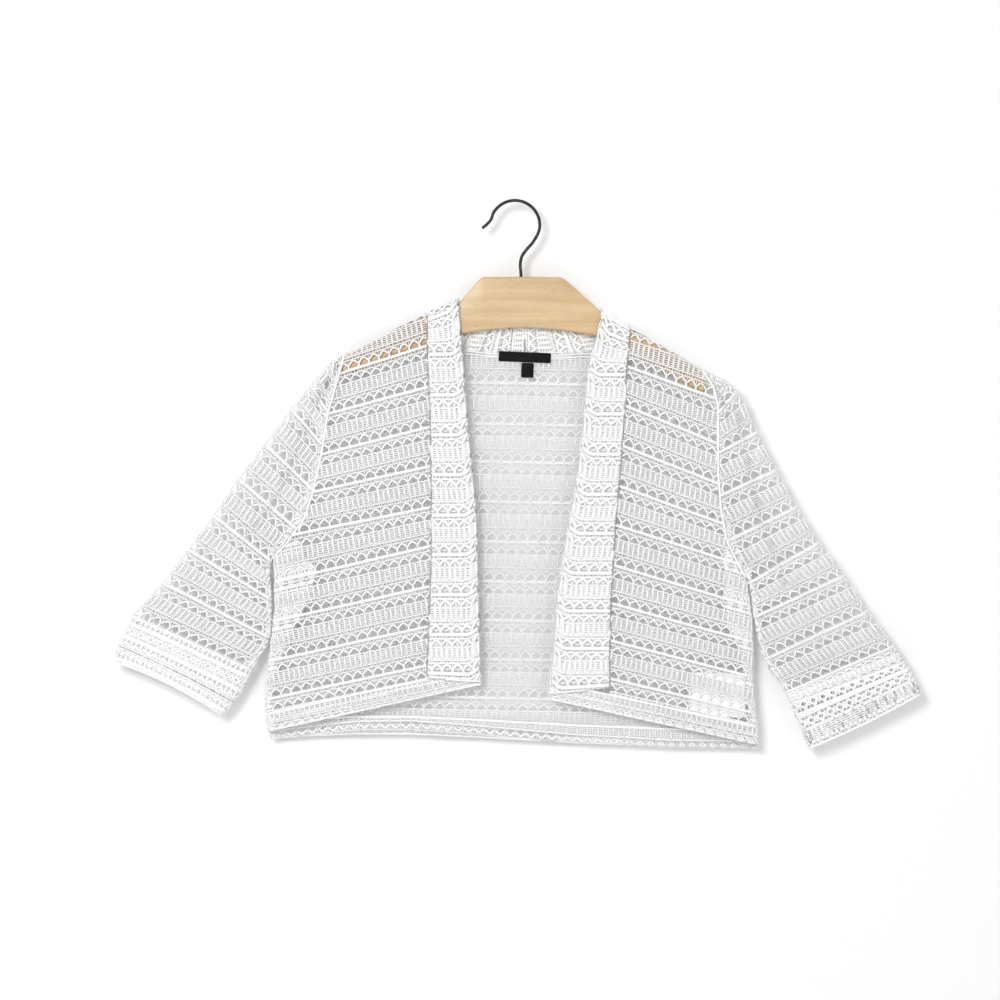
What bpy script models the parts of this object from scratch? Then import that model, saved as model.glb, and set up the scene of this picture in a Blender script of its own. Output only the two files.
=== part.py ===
"""Girl's open lace cardigan on a flat wooden hanger, hung up with its cloth flat.

Z is up, X is to the right seen from the front, and the front faces -Y. The origin is the
inner top of the hanger's hook, where a rail carries it. Left and right are as seen from
the front. Sizes below are millimetres; meshes are made in metres.

Each cloth piece is a wall: a grid of middle points, moved out and in along its normals.
The front pieces lie at y = -DEPTH and the back piece at y = +DEPTH. Both turn through a
quarter round to y = 0 where the cloth folds: along the shoulders, the side seams and the
two long edges of a sleeve.
"""

import math

import bpy
import numpy as np

MM = 0.001

# Cloth
WALL = 1.2
FOLDED_WALL = 2.6
SEAM_GAP = 0.3
DEPTH = 7.2
RIDGE_HEIGHT = 0.8
RIDGE_HALF_WIDTH = 1.4
ROW_PITCH = 37.7
HEM_EXTRA = 0.6
HEM_DEPTH = 16.0
HEM_STEP_SHARE = 0.03
UNDERARM_ROUND = 14.0

# Clear space beyond the seam gap between a sleeve and the body: on the armhole, underarm
ARMHOLE_CLEAR = 0.1
UNDERARM_CLEAR = 2.0

# Front hem behind the foot of its band: how far it sinks, over what distance
TAB_SINK = 2.1
TAB_SINK_REACH = 4.0

# Largest share of a tube's width that one of its rounded folds takes up
FOLD_SHARE = 0.42

# Angles at which a quarter round is cut into facets, from its edge to its flat end
FINE_TURN = np.radians([0.0, 30.0, 60.0, 90.0])
COARSE_TURN = np.radians([0.0, 42.0, 90.0])
ROLL_TURN = np.radians([0.0, 22.5, 45.0, 67.5, 90.0])
# Angles of the band's half round over the hanger, from the front to the back
CREST_TURN = np.radians([0.0, 22.5, 45.0, 67.5, 90.0, 112.5, 135.0, 157.5, 180.0])

# Edges whose faces meet more sharply than this stay sharp
SHARP_DEG = 50.0

# Hanger
WOOD_THICK = 9.0
WOOD_EDGE_ROUND = 2.0
WIRE = 3.0
BOW_RADIUS = 23.6
BOW_CENTRE_X = 0.9
HOOK_BORE = 3.6
HOOK_SINK = 9.0
HOOK_END_CLEAR = 0.6
HOOK_BOTTOM = -71.2
WIRE_RINGS = 44

# Armhole and side seam, top to bottom: height, then how far out it runs
SIDE_LINE = {
    "left": [(-143.9, -160.5), (-201.4, -176.7), (-239.9, -182.9), (-275.5, -190.9),
             (-300.0, -198.6), (-326.0, -217.0), (-333.0, -224.4), (-337.3, -228.6),
             (-357.0, -227.6), (-384.0, -227.0), (-408.5, -229.6), (-427.5, -231.8),
             (-460.0, -236.0), (-476.0, -235.6), (-497.0, -234.2), (-512.0, -231.0)],
    "right": [(-157.4, 176.7), (-175.0, 189.0), (-192.9, 193.4), (-260.3, 193.8),
              (-294.5, 196.7), (-321.1, 201.8), (-344.0, 212.6), (-353.0, 217.8),
              (-358.0, 220.6), (-388.6, 225.0), (-407.6, 226.6), (-424.7, 226.9),
              (-449.4, 226.6), (-473.1, 228.2), (-492.1, 230.6), (-503.5, 231.6),
              (-520.0, 231.6)],
}
UNDERARM_Z = {"left": -337.3, "right": -358.0}

# Front band, top to bottom: height, where it is sewn to the front, where its fold edge is
BAND_LINES = {
    "left": [(-105.8, -82.6, -52.2), (-113.0, -82.6, -51.4), (-136.8, -82.2, -48.9),
             (-175.8, -80.8, -46.1), (-213.8, -79.3, -43.2), (-250.8, -78.8, -39.5),
             (-289.8, -78.4, -35.6),
             (-326.8, -78.4, -34.2), (-364.8, -79.4, -33.4), (-402.8, -80.8, -32.3),
             (-439.8, -82.4, -31.3), (-458.0, -82.8, -30.6)],
    "right": [(-119.4, 110.2, 82.6), (-126.6, 110.2, 79.6), (-156.4, 107.3, 70.3),
              (-193.8, 105.4, 67.0), (-231.8, 102.6, 63.2), (-269.8, 99.8, 58.4), (-306.8, 96.4, 51.3),
              (-344.8, 94.0, 44.8), (-380.9, 92.1, 40.4), (-416.1, 91.2, 38.0),
              (-452.2, 91.0, 34.7), (-467.0, 91.0, 33.2)],
}
FIRST_BAND_RIDGE = 2
# Lower end of the band and top of it where it crosses the hanger: height at the seam, fold
BAND_FOOT = {"left": (-452.6, -455.8), "right": (-461.7, -467.0)}
BAND_CREST = {"left": (-104.5, -92.4), "right": (-118.1, -101.7)}
# Height of the first section above the foot: at the seam, at the fold
BAND_FOOT_STEP = (3.0, 5.5)

# Lace rows of a front, from the shoulder to the hem: height at the band, height at the side
FRONT_ROWS = {
    "left": [(-105.8, -143.9), (-136.8, -163.4), (-175.8, -201.4), (-213.8, -239.9),
             (-250.8, -275.5), (-289.8, -316.3), (-326.8, -361.0), (-364.8, -398.0),
             (-402.8, -436.0), (-439.8, -472.1), (-469.3, -502.0)],
    "right": [(-119.4, -157.4), (-156.4, -187.1), (-193.8, -229.9), (-231.8, -267.9),
              (-269.8, -305.9), (-306.8, -343.5), (-344.8, -383.8), (-380.9, -418.0),
              (-416.1, -451.2), (-452.2, -485.4), (-484.5, -515.0)],
}

# Lace rows of the back: heights of its level ridges
BACK_RIDGES = [-171.9, -210.9, -247.0, -285.0, -323.0, -361.0, -398.0, -435.1, -472.1]
# Other rows of the back, where its edges bend: height at the left side, at the right side
BACK_BENDS = [(-180.0, -175.0), (-201.4, -192.9), (-239.9, -239.9), (-275.5, -260.3),
              (-300.0, -294.5), (-316.0, -321.1), (-326.0, -344.0), (-333.0, -353.0),
              (-337.3, -358.0)]
# Lower edge of the back: how far across, height
BACK_HEM = [(-240.0, -510.6), (-190.0, -507.6), (-150.0, -506.0), (-97.8, -506.3),
            (-33.2, -509.2), (58.9, -514.4), (149.2, -517.8), (240.0, -519.6)]
# Rows of the back's hem: left side seam, right side seam, height above the lower edge, extra
BACK_HEM_ROWS = [(-491.0, -499.5, 17.0, 0.0), (-492.5, -501.0, 16.0, HEM_EXTRA),
                 (-509.5, -518.0, 0.0, HEM_EXTRA)]
# Neckline of the back, left to right: how far across, height
NECKLINE = [(-82.6, -113.0), (-78.4, -121.5), (-70.3, -131.1), (-51.3, -140.6),
            (-22.8, -143.9), (10.4, -144.6), (46.5, -145.3), (77.9, -143.4),
            (96.9, -137.8), (106.5, -131.0), (110.2, -126.6)]
# Fold edge of the collar behind the hanger, left to right: how far across, height
COLLAR_TOP = [(-52.2, -99.6), (-48.0, -99.0), (-41.8, -98.8), (-27.5, -97.4), (-10.4, -96.9),
              (10.4, -96.9), (33.2, -96.9), (53.2, -97.8), (70.3, -101.6), (77.9, -106.0),
              (82.6, -109.2)]
# Sections of the collar from the shoulder to its centre back seam: seam edge x, fold edge x
COLLAR_SECTIONS = {
    "left": [(-78.4, -48.0), (-70.3, -41.8), (-51.3, -27.5), (-22.8, -10.4), (10.2, 10.2)],
    "right": [(106.5, 77.9), (96.9, 70.3), (77.9, 53.2), (46.5, 33.2), (10.6, 10.6)],
}

# Lace rows of a sleeve, shoulder to cuff: outer fold x, z, then inner end x, z.
# An inner end above the underarm lies on the armhole, so its x is read from SIDE_LINE.
SLEEVE_ROWS = {
    "left": [(-163.2, -145.4, -162.6, -150.0), (-174.8, -154.4, -169.6, -171.0),
             (-192.8, -174.2, -177.7, -199.5), (-211.4, -196.6, -185.2, -230.8),
             (-236.1, -229.8, -190.9, -273.6), (-261.2, -262.6, -204.2, -310.6),
             (-285.0, -297.7, -230.2, -341.0), (-309.1, -330.0, -230.6, -377.1),
             (-333.2, -361.4, -232.6, -413.2), (-361.3, -392.6, -248.4, -443.6)],
    "right": [(181.2, -159.6, 180.5, -165.5), (211.8, -179.0, 193.3, -200.5),
              (230.8, -218.6, 195.7, -238.0), (249.4, -254.6, 196.6, -278.8),
              (268.8, -289.5, 202.8, -322.1), (289.8, -322.9, 223.0, -362.0),
              (313.5, -354.7, 228.0, -394.2), (336.3, -388.5, 237.5, -434.1),
              (361.0, -421.2, 257.4, -465.5), (370.3, -435.4, 262.2, -475.0)],
}
# Cuff rows, top to bottom: outer fold x, z, inner fold x, z, rise of the middle
CUFF_ROWS = {
    "left": [(-361.6, -393.0, -248.6, -444.0, 0.0), (-369.0, -409.0, -257.5, -461.0, 1.0),
             (-376.6, -424.5, -268.0, -478.4, 2.6), (-378.6, -436.6, -277.0, -486.8, 4.4)],
    "right": [(370.6, -435.8, 262.3, -475.5, 0.0), (376.0, -445.6, 270.6, -493.2, 0.0),
              (382.5, -457.0, 276.0, -508.0, -1.2), (386.0, -466.8, 279.8, -518.6, -2.4)],
}
# Long crease down a sleeve: first row, last row, place across (0 inner, 1 outer), width, depth
SLEEVE_CREASE = {
    "left": (1.4, 6.4, 0.50, 13.0, 2.0),
    "right": (1.4, 7.4, 0.42, 13.0, 2.0),
}

# Wooden hanger, left to right: place across, top height, bottom height
WOOD_SECTIONS = [
    (-164.4, -152.0, -163.0), (-162.4, -148.4, -166.2), (-158.0, -145.2, -165.6),
    (-118.8, -125.8, -146.6), (-82.6, -108.3, -135.6), (-55.0, -97.4, -127.4),
    (-50.6, -94.6, -125.6), (-32.0, -72.9, -121.8), (-29.6, -71.4, -121.6),
    (10.4, -71.2, -118.8), (44.6, -71.6, -121.6), (47.4, -73.0, -121.9),
    (79.6, -101.8, -127.6), (84.8, -107.2, -129.6), (110.2, -121.6, -142.4),
    (144.4, -141.4, -162.4), (174.6, -159.0, -178.8), (179.0, -162.6, -180.8),
    (181.4, -166.8, -178.2),
]
# Wire below the hook's bow, from the bow to the wood: place across, height
WIRE_NECK = [(18.1, -38.0), (11.8, -45.4), (7.4, -51.8), (6.0, -58.9), (6.6, -68.0)]
# Flared open end of the hook
WIRE_TIP = [(-25.4, -20.8), (-29.2, -24.1)]
BOW_FROM_DEG = 168.0
BOW_TO_DEG = -22.0
BOW_STEP_DEG = 19.0

# Labels: two inside the back, the care label inside the right front. y is the front face
LABEL_THICK = 1.0
NECK_LABEL = {"centre": (10.3, -147.1), "size": (49.7, 9.6), "tilt_deg": -2.4, "y": 5.3}
SIZE_TAB = {"centre": (12.8, -159.6), "size": (11.7, 14.0), "tilt_deg": -2.0, "y": 5.3}
CARE_LABEL = {"centre": (192.6, -468.0), "size": (54.0, 42.6), "tilt_deg": -1.0, "y": -6.2}


def clear_scene():
    """Remove every object that the file opened with."""
    for old in list(bpy.data.objects):
        bpy.data.objects.remove(old, do_unlink=True)


def material(name, colour, roughness, metallic=0.0):
    """A Principled material with one colour."""
    made = bpy.data.materials.new(name)
    made.use_nodes = True
    shader = made.node_tree.nodes["Principled BSDF"]
    shader.inputs["Base Color"].default_value = (*colour, 1.0)
    shader.inputs["Roughness"].default_value = roughness
    shader.inputs["Metallic"].default_value = metallic
    return made


def smooth(places, values, at):
    """Read a table between its rows with a cubic that keeps each row's own slope."""
    places = np.asarray(places, float)
    values = np.asarray(values, float)
    if places[0] > places[-1]:
        places = places[::-1]
        values = values[::-1]
    at = np.clip(np.asarray(at, float), places[0], places[-1])
    slope = np.gradient(values, places)
    cell = np.clip(np.searchsorted(places, at, side="right") - 1, 0, len(places) - 2)
    span = places[cell + 1] - places[cell]
    t = (at - places[cell]) / span
    start = (1 + 2 * t) * (1 - t) ** 2 * values[cell]
    end = t ** 2 * (3 - 2 * t) * values[cell + 1]
    leave = t * (1 - t) ** 2 * span * slope[cell]
    arrive = t ** 2 * (t - 1) * span * slope[cell + 1]
    return start + end + leave + arrive


def column(table, index):
    """One named column of a table of rows."""
    return [row[index] for row in table]


def straight(places, values, at):
    """Read a falling table between its rows in straight runs."""
    return np.interp(-np.asarray(at, float), -np.asarray(places, float), values)


def side_x(side, z):
    """How far out the armhole and side seam run at height z."""
    return straight(column(SIDE_LINE[side], 0), column(SIDE_LINE[side], 1), z)


def band_x(side, z, edge):
    """Place across of a band's edge at height z: 1 for its seam, 2 for its fold."""
    return straight(column(BAND_LINES[side], 0), column(BAND_LINES[side], edge), z)


def armhole_places(side, heights):
    """Row places at which a table of heights meets each bend of the armhole."""
    bends = [z for z, x in SIDE_LINE[side][1:] if z >= UNDERARM_Z[side]]
    return list(straight(heights, np.arange(len(heights)), bends))


def outward(side):
    """The sign of X that points from the body to this side's sleeve."""
    return -1.0 if side == "left" else 1.0


def quarter(distance, reach):
    """Share of full depth at a distance from the edge of a quarter round."""
    t = np.clip(np.asarray(distance, float) / reach, 0.0, 1.0)
    return np.sqrt(1.0 - (1.0 - t) ** 2)


def side_fold(side, z):
    """1 where front and back fold into each other, 0 along the open armhole."""
    return 1.0 - quarter(np.asarray(z, float) - UNDERARM_Z[side], UNDERARM_ROUND)


def turn_distance(angles):
    """Distance from the edge at each facet angle of a quarter round."""
    return DEPTH * (1.0 - np.cos(angles))


def wall(name, middle, out, inside, finish, cells=None, closed=False):
    """Make a closed wall from a grid of middle points.

    middle is rows x columns x 3, out and inside are how far the outer and inner faces
    stand off it, and cells says which squares of the grid are cloth. Normals are the sum
    of the squares round each point, turned away from the plane y = 0. Where the middle
    lies on that plane the normal is kept in it, so that two folded edges meet squarely.
    """
    rows, cols = middle.shape[:2]
    span = cols if closed else cols - 1
    if cells is None:
        cells = np.ones((rows - 1, span), bool)
    cell_row, cell_col = np.nonzero(cells)
    next_col = (cell_col + 1) % cols
    corners = np.stack([cell_row * cols + cell_col, cell_row * cols + next_col,
                        (cell_row + 1) * cols + next_col, (cell_row + 1) * cols + cell_col], 1)
    points = middle.reshape(-1, 3)
    across = points[corners[:, 2]] - points[corners[:, 0]]
    along = points[corners[:, 3]] - points[corners[:, 1]]
    face_normal = np.cross(across, along)
    normal = np.zeros_like(points)
    for corner in range(4):
        np.add.at(normal, corners[:, corner], face_normal)
    centre = points.mean(0) * [1.0, 0.0, 1.0]
    away = np.sum(normal * (points - centre) * [0.02, 1.0, 0.02], 1).sum()
    if away < 0:
        normal = -normal
        corners = corners[:, ::-1]
    normal[np.abs(points[:, 1]) < SEAM_GAP, 1] = 0.0
    length = np.linalg.norm(normal, axis=1, keepdims=True)
    normal = normal / np.where(length > 0, length, 1.0)
    outer = points + normal * np.asarray(out, float).reshape(-1, 1)
    inner = points - normal * np.asarray(inside, float).reshape(-1, 1)

    count = len(points)
    used = np.unique(corners)
    renumber = np.full(2 * count, -1)
    renumber[used] = np.arange(len(used))
    renumber[used + count] = np.arange(len(used)) + len(used)
    vertices = np.concatenate([outer[used], inner[used]]) * MM
    faces = [tuple(renumber[face]) for face in corners]
    faces += [tuple(renumber[face[::-1] + count]) for face in corners]
    edges = {}
    for face in corners:
        for a, b in zip(face, np.roll(face, -1)):
            edges[(int(a), int(b))] = True
    for a, b in edges:
        if (b, a) not in edges:
            faces.append(tuple(renumber[[b, a, a + count, b + count]]))
    return add_object(name, vertices, faces, finish)


def add_object(name, vertices, faces, finish):
    """Put a mesh of one sub-part into the scene, shaded smooth but for its rims."""
    mesh = bpy.data.meshes.new(name)
    mesh.from_pydata([tuple(v) for v in vertices], [], [tuple(int(i) for i in f) for f in faces])
    mesh.validate()
    mesh.shade_smooth()
    mesh.set_sharp_from_angle(angle=math.radians(SHARP_DEG))
    mesh.materials.append(finish)
    made = bpy.data.objects.new(name, mesh)
    bpy.context.scene.collection.objects.link(made)
    return made


def with_ridges(first, last, half):
    """Row places first..last with a foot, a crest and a foot at each ridge."""
    places = []
    for ridge in range(first, last + 1):
        places += [ridge - half, float(ridge), ridge + half]
    return places


def crest_height(places, first, last):
    """Extra outer height at each row place: a ridge's crest is a whole number."""
    places = np.asarray(places, float)
    whole = np.abs(places - np.round(places)) < 1e-6
    inside = (places > first - 0.5) & (places < last + 0.5)
    return np.where(whole & inside, RIDGE_HEIGHT, 0.0)


def front_panel(side, finish):
    """One front: lace rows that slope from the band down to the side seam.

    Its top rows copy the shoulder line and roll over it. Below its last ridge the hem is
    thicker, and goes on behind the foot of the band to the band's fold edge.
    """
    table = FRONT_ROWS[side]
    sign = outward(side)
    index = np.arange(len(table))
    last_ridge = len(table) - 2
    half = RIDGE_HALF_WIDTH / ROW_PITCH
    rolls = turn_distance(ROLL_TURN)
    places = with_ridges(1, last_ridge, half)
    foot = index[-1]
    hem_start = round(float(foot - HEM_DEPTH / (table[-2][0] - table[-1][0])), 5)
    places += armhole_places(side, column(table, 1))
    places += [hem_start - HEM_STEP_SHARE, hem_start, float(foot)]
    places = np.unique(np.round(places, 5))
    band_z = np.interp(places, index, column(table, 0))
    seam_z = np.interp(places, index, column(table, 1))
    band_z = np.concatenate([table[0][0] - rolls, band_z])
    seam_z = np.concatenate([table[0][1] - rolls, seam_z])
    places = np.concatenate([np.zeros(len(rolls)), places])
    outer_x = side_x(side, seam_z) - sign * SEAM_GAP / 2
    inner_x = band_x(side, band_z, 1) + sign * SEAM_GAP / 2
    fold_x = band_x(side, band_z, 2)

    shares = np.array([0.0, 0.12, 0.34, 0.58, 0.80, 1.0])
    turn = turn_distance(FINE_TURN)[:-1]
    tabs = 2
    count = tabs + len(shares) + len(turn)
    middle = np.zeros((len(places), count, 3))
    roof = table[0]
    for row in range(len(places)):
        length = abs(outer_x[row] - inner_x[row])
        flat = (length - DEPTH) * shares
        distance = np.concatenate([flat, length - turn[::-1]])
        behind = np.array([abs(inner_x[row] - fold_x[row]), abs(inner_x[row] - fold_x[row]) / 2])
        distance = np.concatenate([-behind, distance])
        x = inner_x[row] + sign * distance
        t = distance / length
        z = band_z[row] + (seam_z[row] - band_z[row]) * t
        depth = 1.0 - side_fold(side, seam_z[row]) * (1.0 - quarter(length - distance, DEPTH))
        roof_z = roof[0] + (roof[1] - roof[0]) * t
        depth = depth * quarter(roof_z - z, DEPTH)
        y = -np.maximum(DEPTH * depth, SEAM_GAP / 2)
        if places[row] >= hem_start - 1e-6:
            y = y + TAB_SINK * np.clip(1.0 - distance / TAB_SINK_REACH, 0.0, 1.0)
        middle[row] = np.stack([x, y, z], 1)
    edge_fade = np.concatenate([np.ones(tabs + len(shares)), turn[::-1] / DEPTH])
    out = WALL / 2 + crest_height(places, 1, last_ridge)[:, None] * edge_fade
    hem_rows = places >= hem_start - 1e-6
    out[hem_rows, tabs + 2:] += HEM_EXTRA
    cells = np.ones((len(places) - 1, count - 1), bool)
    first_hem_cell = int(np.argmax(hem_rows))
    cells[:first_hem_cell, :tabs] = False
    return wall("front_" + side, middle, out, np.full(middle.shape[:2], WALL / 2), finish, cells)


def back_panel(finish):
    """The back: level lace rows between the two armholes and side seams.

    Its top rows roll over the shoulders. Between the shoulders the neckline is cut out,
    so those squares start below the roll.
    """
    rolls = turn_distance(ROLL_TURN)
    left_tip = SIDE_LINE["left"][0]
    right_tip = SIDE_LINE["right"][0]
    neck_left = (BAND_LINES["left"][0][1], BAND_LINES["left"][0][0])
    neck_right = (BAND_LINES["right"][0][1], BAND_LINES["right"][0][0])
    roof_x = [left_tip[1], neck_left[0], neck_right[0], right_tip[1]]
    roof_z = [left_tip[0], neck_left[1], neck_right[1], right_tip[0]]

    turn = turn_distance(FINE_TURN)[:-1]
    shoulder_shares = np.array([0.0, 0.5])
    neck_x = np.array(column(NECKLINE, 0))
    levels = [(left_z, right_z, 0.0) for left_z, right_z in BACK_BENDS]
    for ridge in BACK_RIDGES:
        for shift, crest in [(RIDGE_HALF_WIDTH, 0.0), (0.0, RIDGE_HEIGHT), (-RIDGE_HALF_WIDTH, 0.0)]:
            levels.append((ridge + shift, ridge + shift, crest))
    levels.sort(key=lambda level: -level[0] - level[1])

    grid = []
    out = []

    def add_row(left_z, right_z, height=None, drop=None, hem=0.0, crest=0.0):
        left = side_x("left", left_z) + SEAM_GAP / 2
        right = side_x("right", right_z) - SEAM_GAP / 2
        left_flat = left + DEPTH
        right_flat = right - DEPTH
        x = np.concatenate([
            left + turn, left_flat + (neck_x[0] - left_flat) * shoulder_shares, neck_x,
            right_flat + (neck_x[-1] - right_flat) * shoulder_shares[::-1], right - turn[::-1]])
        if height is not None:
            z = smooth(column(BACK_HEM, 0), column(BACK_HEM, 1), x) + height
        elif drop is None:
            z = left_z + (right_z - left_z) * (x - left) / (right - left)
        else:
            z = np.interp(x, roof_x, roof_z) - drop
            neck = (x > neck_x[0] + 0.01) & (x < neck_x[-1] - 0.01)
            z = np.where(neck, smooth(neck_x, column(NECKLINE, 1), x), z)
        left_share = 1.0 - side_fold("left", left_z) * (1.0 - quarter(x - left, DEPTH))
        right_share = 1.0 - side_fold("right", right_z) * (1.0 - quarter(right - x, DEPTH))
        roof = np.interp(x, roof_x, roof_z) - z
        y = np.maximum(DEPTH * left_share * right_share * quarter(roof, DEPTH), SEAM_GAP / 2)
        grid.append(np.stack([x, y, z], 1))
        edge_fade = np.clip(np.minimum(x - left, right - x) / DEPTH, 0.0, 1.0)
        out.append(WALL / 2 + hem * edge_fade + crest * edge_fade)

    for drop in rolls:
        add_row(left_tip[0] - drop, right_tip[0] - drop, drop=drop)
    for left_z, right_z, crest in levels:
        add_row(left_z, right_z, crest=crest)
    for left_z, right_z, height, extra in BACK_HEM_ROWS:
        add_row(left_z, right_z, height=height, hem=extra)
    middle = np.array(grid)
    start = len(turn) + len(shoulder_shares)
    cells = np.ones((len(middle) - 1, middle.shape[1] - 1), bool)
    cells[:len(rolls) - 1, start:start + len(neck_x) - 1] = False
    inside = np.full(middle.shape[:2], WALL / 2)
    return wall("back_panel", middle, np.array(out), inside, finish, cells)


def band(side, finish):
    """Folded front band and half collar: up the front, over the hanger, to the centre back.

    Its inner face is flush with the front's, so the fold's extra thickness stands proud.
    """
    sign = outward(side)
    table = BAND_LINES[side]
    heights = column(table, 0)
    face = DEPTH - WALL / 2
    depth = face + FOLDED_WALL / 2
    seam_top, fold_top = BAND_CREST[side]
    rows = []
    crests = []
    foot_seam, foot_fold = BAND_FOOT[side]
    for step in (0, 1):
        seam_z = foot_seam + step * BAND_FOOT_STEP[0]
        fold_z = foot_fold + step * BAND_FOOT_STEP[1]
        seam = band_x(side, seam_z, 1) - sign * SEAM_GAP / 2
        rows.append([(seam, -depth, seam_z), (band_x(side, fold_z, 2), -depth, fold_z)])
        crests.append(0.0)
    for height in heights[-3:FIRST_BAND_RIDGE - 1:-1]:
        for shift in (-RIDGE_HALF_WIDTH, 0.0, RIDGE_HALF_WIDTH):
            z = height + shift
            seam = band_x(side, z, 1) - sign * SEAM_GAP / 2
            rows.append([(seam, -depth, z), (band_x(side, z, 2), -depth, z)])
            crests.append(RIDGE_HEIGHT / 2 if shift == 0.0 else 0.0)
    for angle in CREST_TURN:
        y = -depth * math.cos(angle)
        drop = depth * (1.0 - math.sin(angle))
        seam = table[0][1] - sign * SEAM_GAP / 2
        rows.append([(seam, y, seam_top - drop), (table[0][2], y, fold_top - drop)])
        crests.append(0.0)
    for seam_x, fold_x in COLLAR_SECTIONS[side]:
        seam_z = smooth(column(NECKLINE, 0), column(NECKLINE, 1), seam_x) + SEAM_GAP
        fold_z = smooth(column(COLLAR_TOP, 0), column(COLLAR_TOP, 1), fold_x)
        seam_in = seam_x - sign * SEAM_GAP
        if abs(seam_x - fold_x) < 0.01:
            seam_in = seam_x
        rows.append([(seam_in, depth, seam_z), (fold_x, depth, fold_z)])
        crests.append(0.0)
    ends = np.array(rows, float)
    shares = np.array([0.0, 0.34, 0.67, 1.0])[None, :, None]
    middle = ends[:, :1] * (1 - shares) + ends[:, 1:] * shares
    out = np.full(middle.shape[:2], FOLDED_WALL / 2) + np.array(crests)[:, None]
    inside = np.full(middle.shape[:2], FOLDED_WALL / 2)
    return wall("band_" + side, middle, out, inside, finish)


def tube_rows(ends, rises, inner_folds, crease=None, places=None):
    """Rings of a flattened tube.

    ends holds outer x, z and inner x, z of each ring. The front layer runs from the inner
    end to the outer fold at y = -DEPTH, the back layer returns at y = +DEPTH, and each
    rounds to y = 0 at the outer fold and, by inner_folds, at the inner one.
    """
    outer_turn = turn_distance(FINE_TURN)[:-1]
    inner_turn = turn_distance(COARSE_TURN)[:-1]
    flat = np.array([0.0, 0.25, 0.5, 0.75, 1.0])
    grid = []
    for row, (outer_x, outer_z, inner_x, inner_z) in enumerate(ends):
        length = math.hypot(outer_x - inner_x, outer_z - inner_z)
        fit = min(1.0, FOLD_SHARE * length / DEPTH)
        flats = (DEPTH * fit) + flat * (length - 2 * DEPTH * fit)
        s = np.concatenate([inner_turn * fit, flats, length - outer_turn[::-1] * fit])
        t = s / length
        bow = rises[row] * 4 * t * (1 - t)
        x = inner_x + (outer_x - inner_x) * t
        z = inner_z + (outer_z - inner_z) * t + bow
        fold = inner_folds[row]
        share = quarter(length - s, DEPTH) * (1.0 - fold * (1.0 - quarter(s, DEPTH)))
        y = np.maximum(DEPTH * share, SEAM_GAP / 2)
        front = y.copy()
        back = y.copy()
        if crease:
            first, last, across, width, depth = crease
            window = np.clip(places[row] - first, 0, 1) * np.clip(last - places[row], 0, 1)
            dip = depth * window * np.exp(-((t - across) * length / width) ** 2)
            front = front - dip
            back = back - 0.5 * dip
        ring_front = np.stack([x, -front, z], 1)
        ring_back = np.stack([x, back, z], 1)[::-1]
        grid.append(np.concatenate([ring_front[:-1], ring_front[-1:] * [1, 0, 1], ring_back[1:]]))
    return np.array(grid)


def sleeve(side, finish):
    """A sleeve: open along the armhole, and a flattened tube from the underarm down."""
    table = SLEEVE_ROWS[side]
    sign = outward(side)
    index = np.arange(len(table))
    last_ridge = len(table) - 2
    half = RIDGE_HALF_WIDTH / ROW_PITCH
    places = [0.0, 0.5] + with_ridges(1, last_ridge, half) + [float(index[-1])]
    places = np.unique(np.round(places + armhole_places(side, column(table, 3)), 5))
    outer_x = smooth(index, column(table, 0), places)
    outer_z = smooth(index, column(table, 1), places)
    end_x = smooth(index, column(table, 2), places)
    end_z = np.interp(places, index, column(table, 3))
    fold = side_fold(side, end_z)
    stand_off = SEAM_GAP / 2 + ARMHOLE_CLEAR + UNDERARM_CLEAR * (1.0 - (1.0 - fold) ** 3)
    beside = side_x(side, end_z) + sign * stand_off
    on_armhole = end_z > UNDERARM_Z[side] + 0.01
    inner_x = np.where(on_armhole, beside, sign * np.maximum(sign * beside, sign * end_x))
    ends = np.stack([outer_x, outer_z, inner_x, end_z], 1)
    rises = np.zeros(len(places))
    middle = tube_rows(ends, rises, fold, SLEEVE_CREASE[side], places)
    cells = np.ones((len(places) - 1, middle.shape[1]), bool)
    cells[:, -1] = end_z[:-1] <= UNDERARM_Z[side] + 0.01
    edge_fade = np.ones(middle.shape[1])
    edge_fade[:len(COARSE_TURN) - 1] = turn_distance(COARSE_TURN)[:-1] / DEPTH
    edge_fade = np.minimum(edge_fade, edge_fade[::-1])
    out = WALL / 2 + crest_height(places, 1, last_ridge)[:, None] * edge_fade
    inside = np.full(middle.shape[:2], WALL / 2)
    return wall("sleeve_" + side, middle, out, inside, finish, cells, closed=True)


def cuff(side, finish):
    """The folded cuff, a short flattened tube just below the sleeve."""
    table = CUFF_ROWS[side]
    ends = [row[:4] for row in table]
    middle = tube_rows(ends, column(table, 4), np.ones(len(table)))
    half = np.full(middle.shape[:2], FOLDED_WALL / 2)
    return wall("cuff_" + side, middle, half, half, finish, closed=True)


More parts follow.
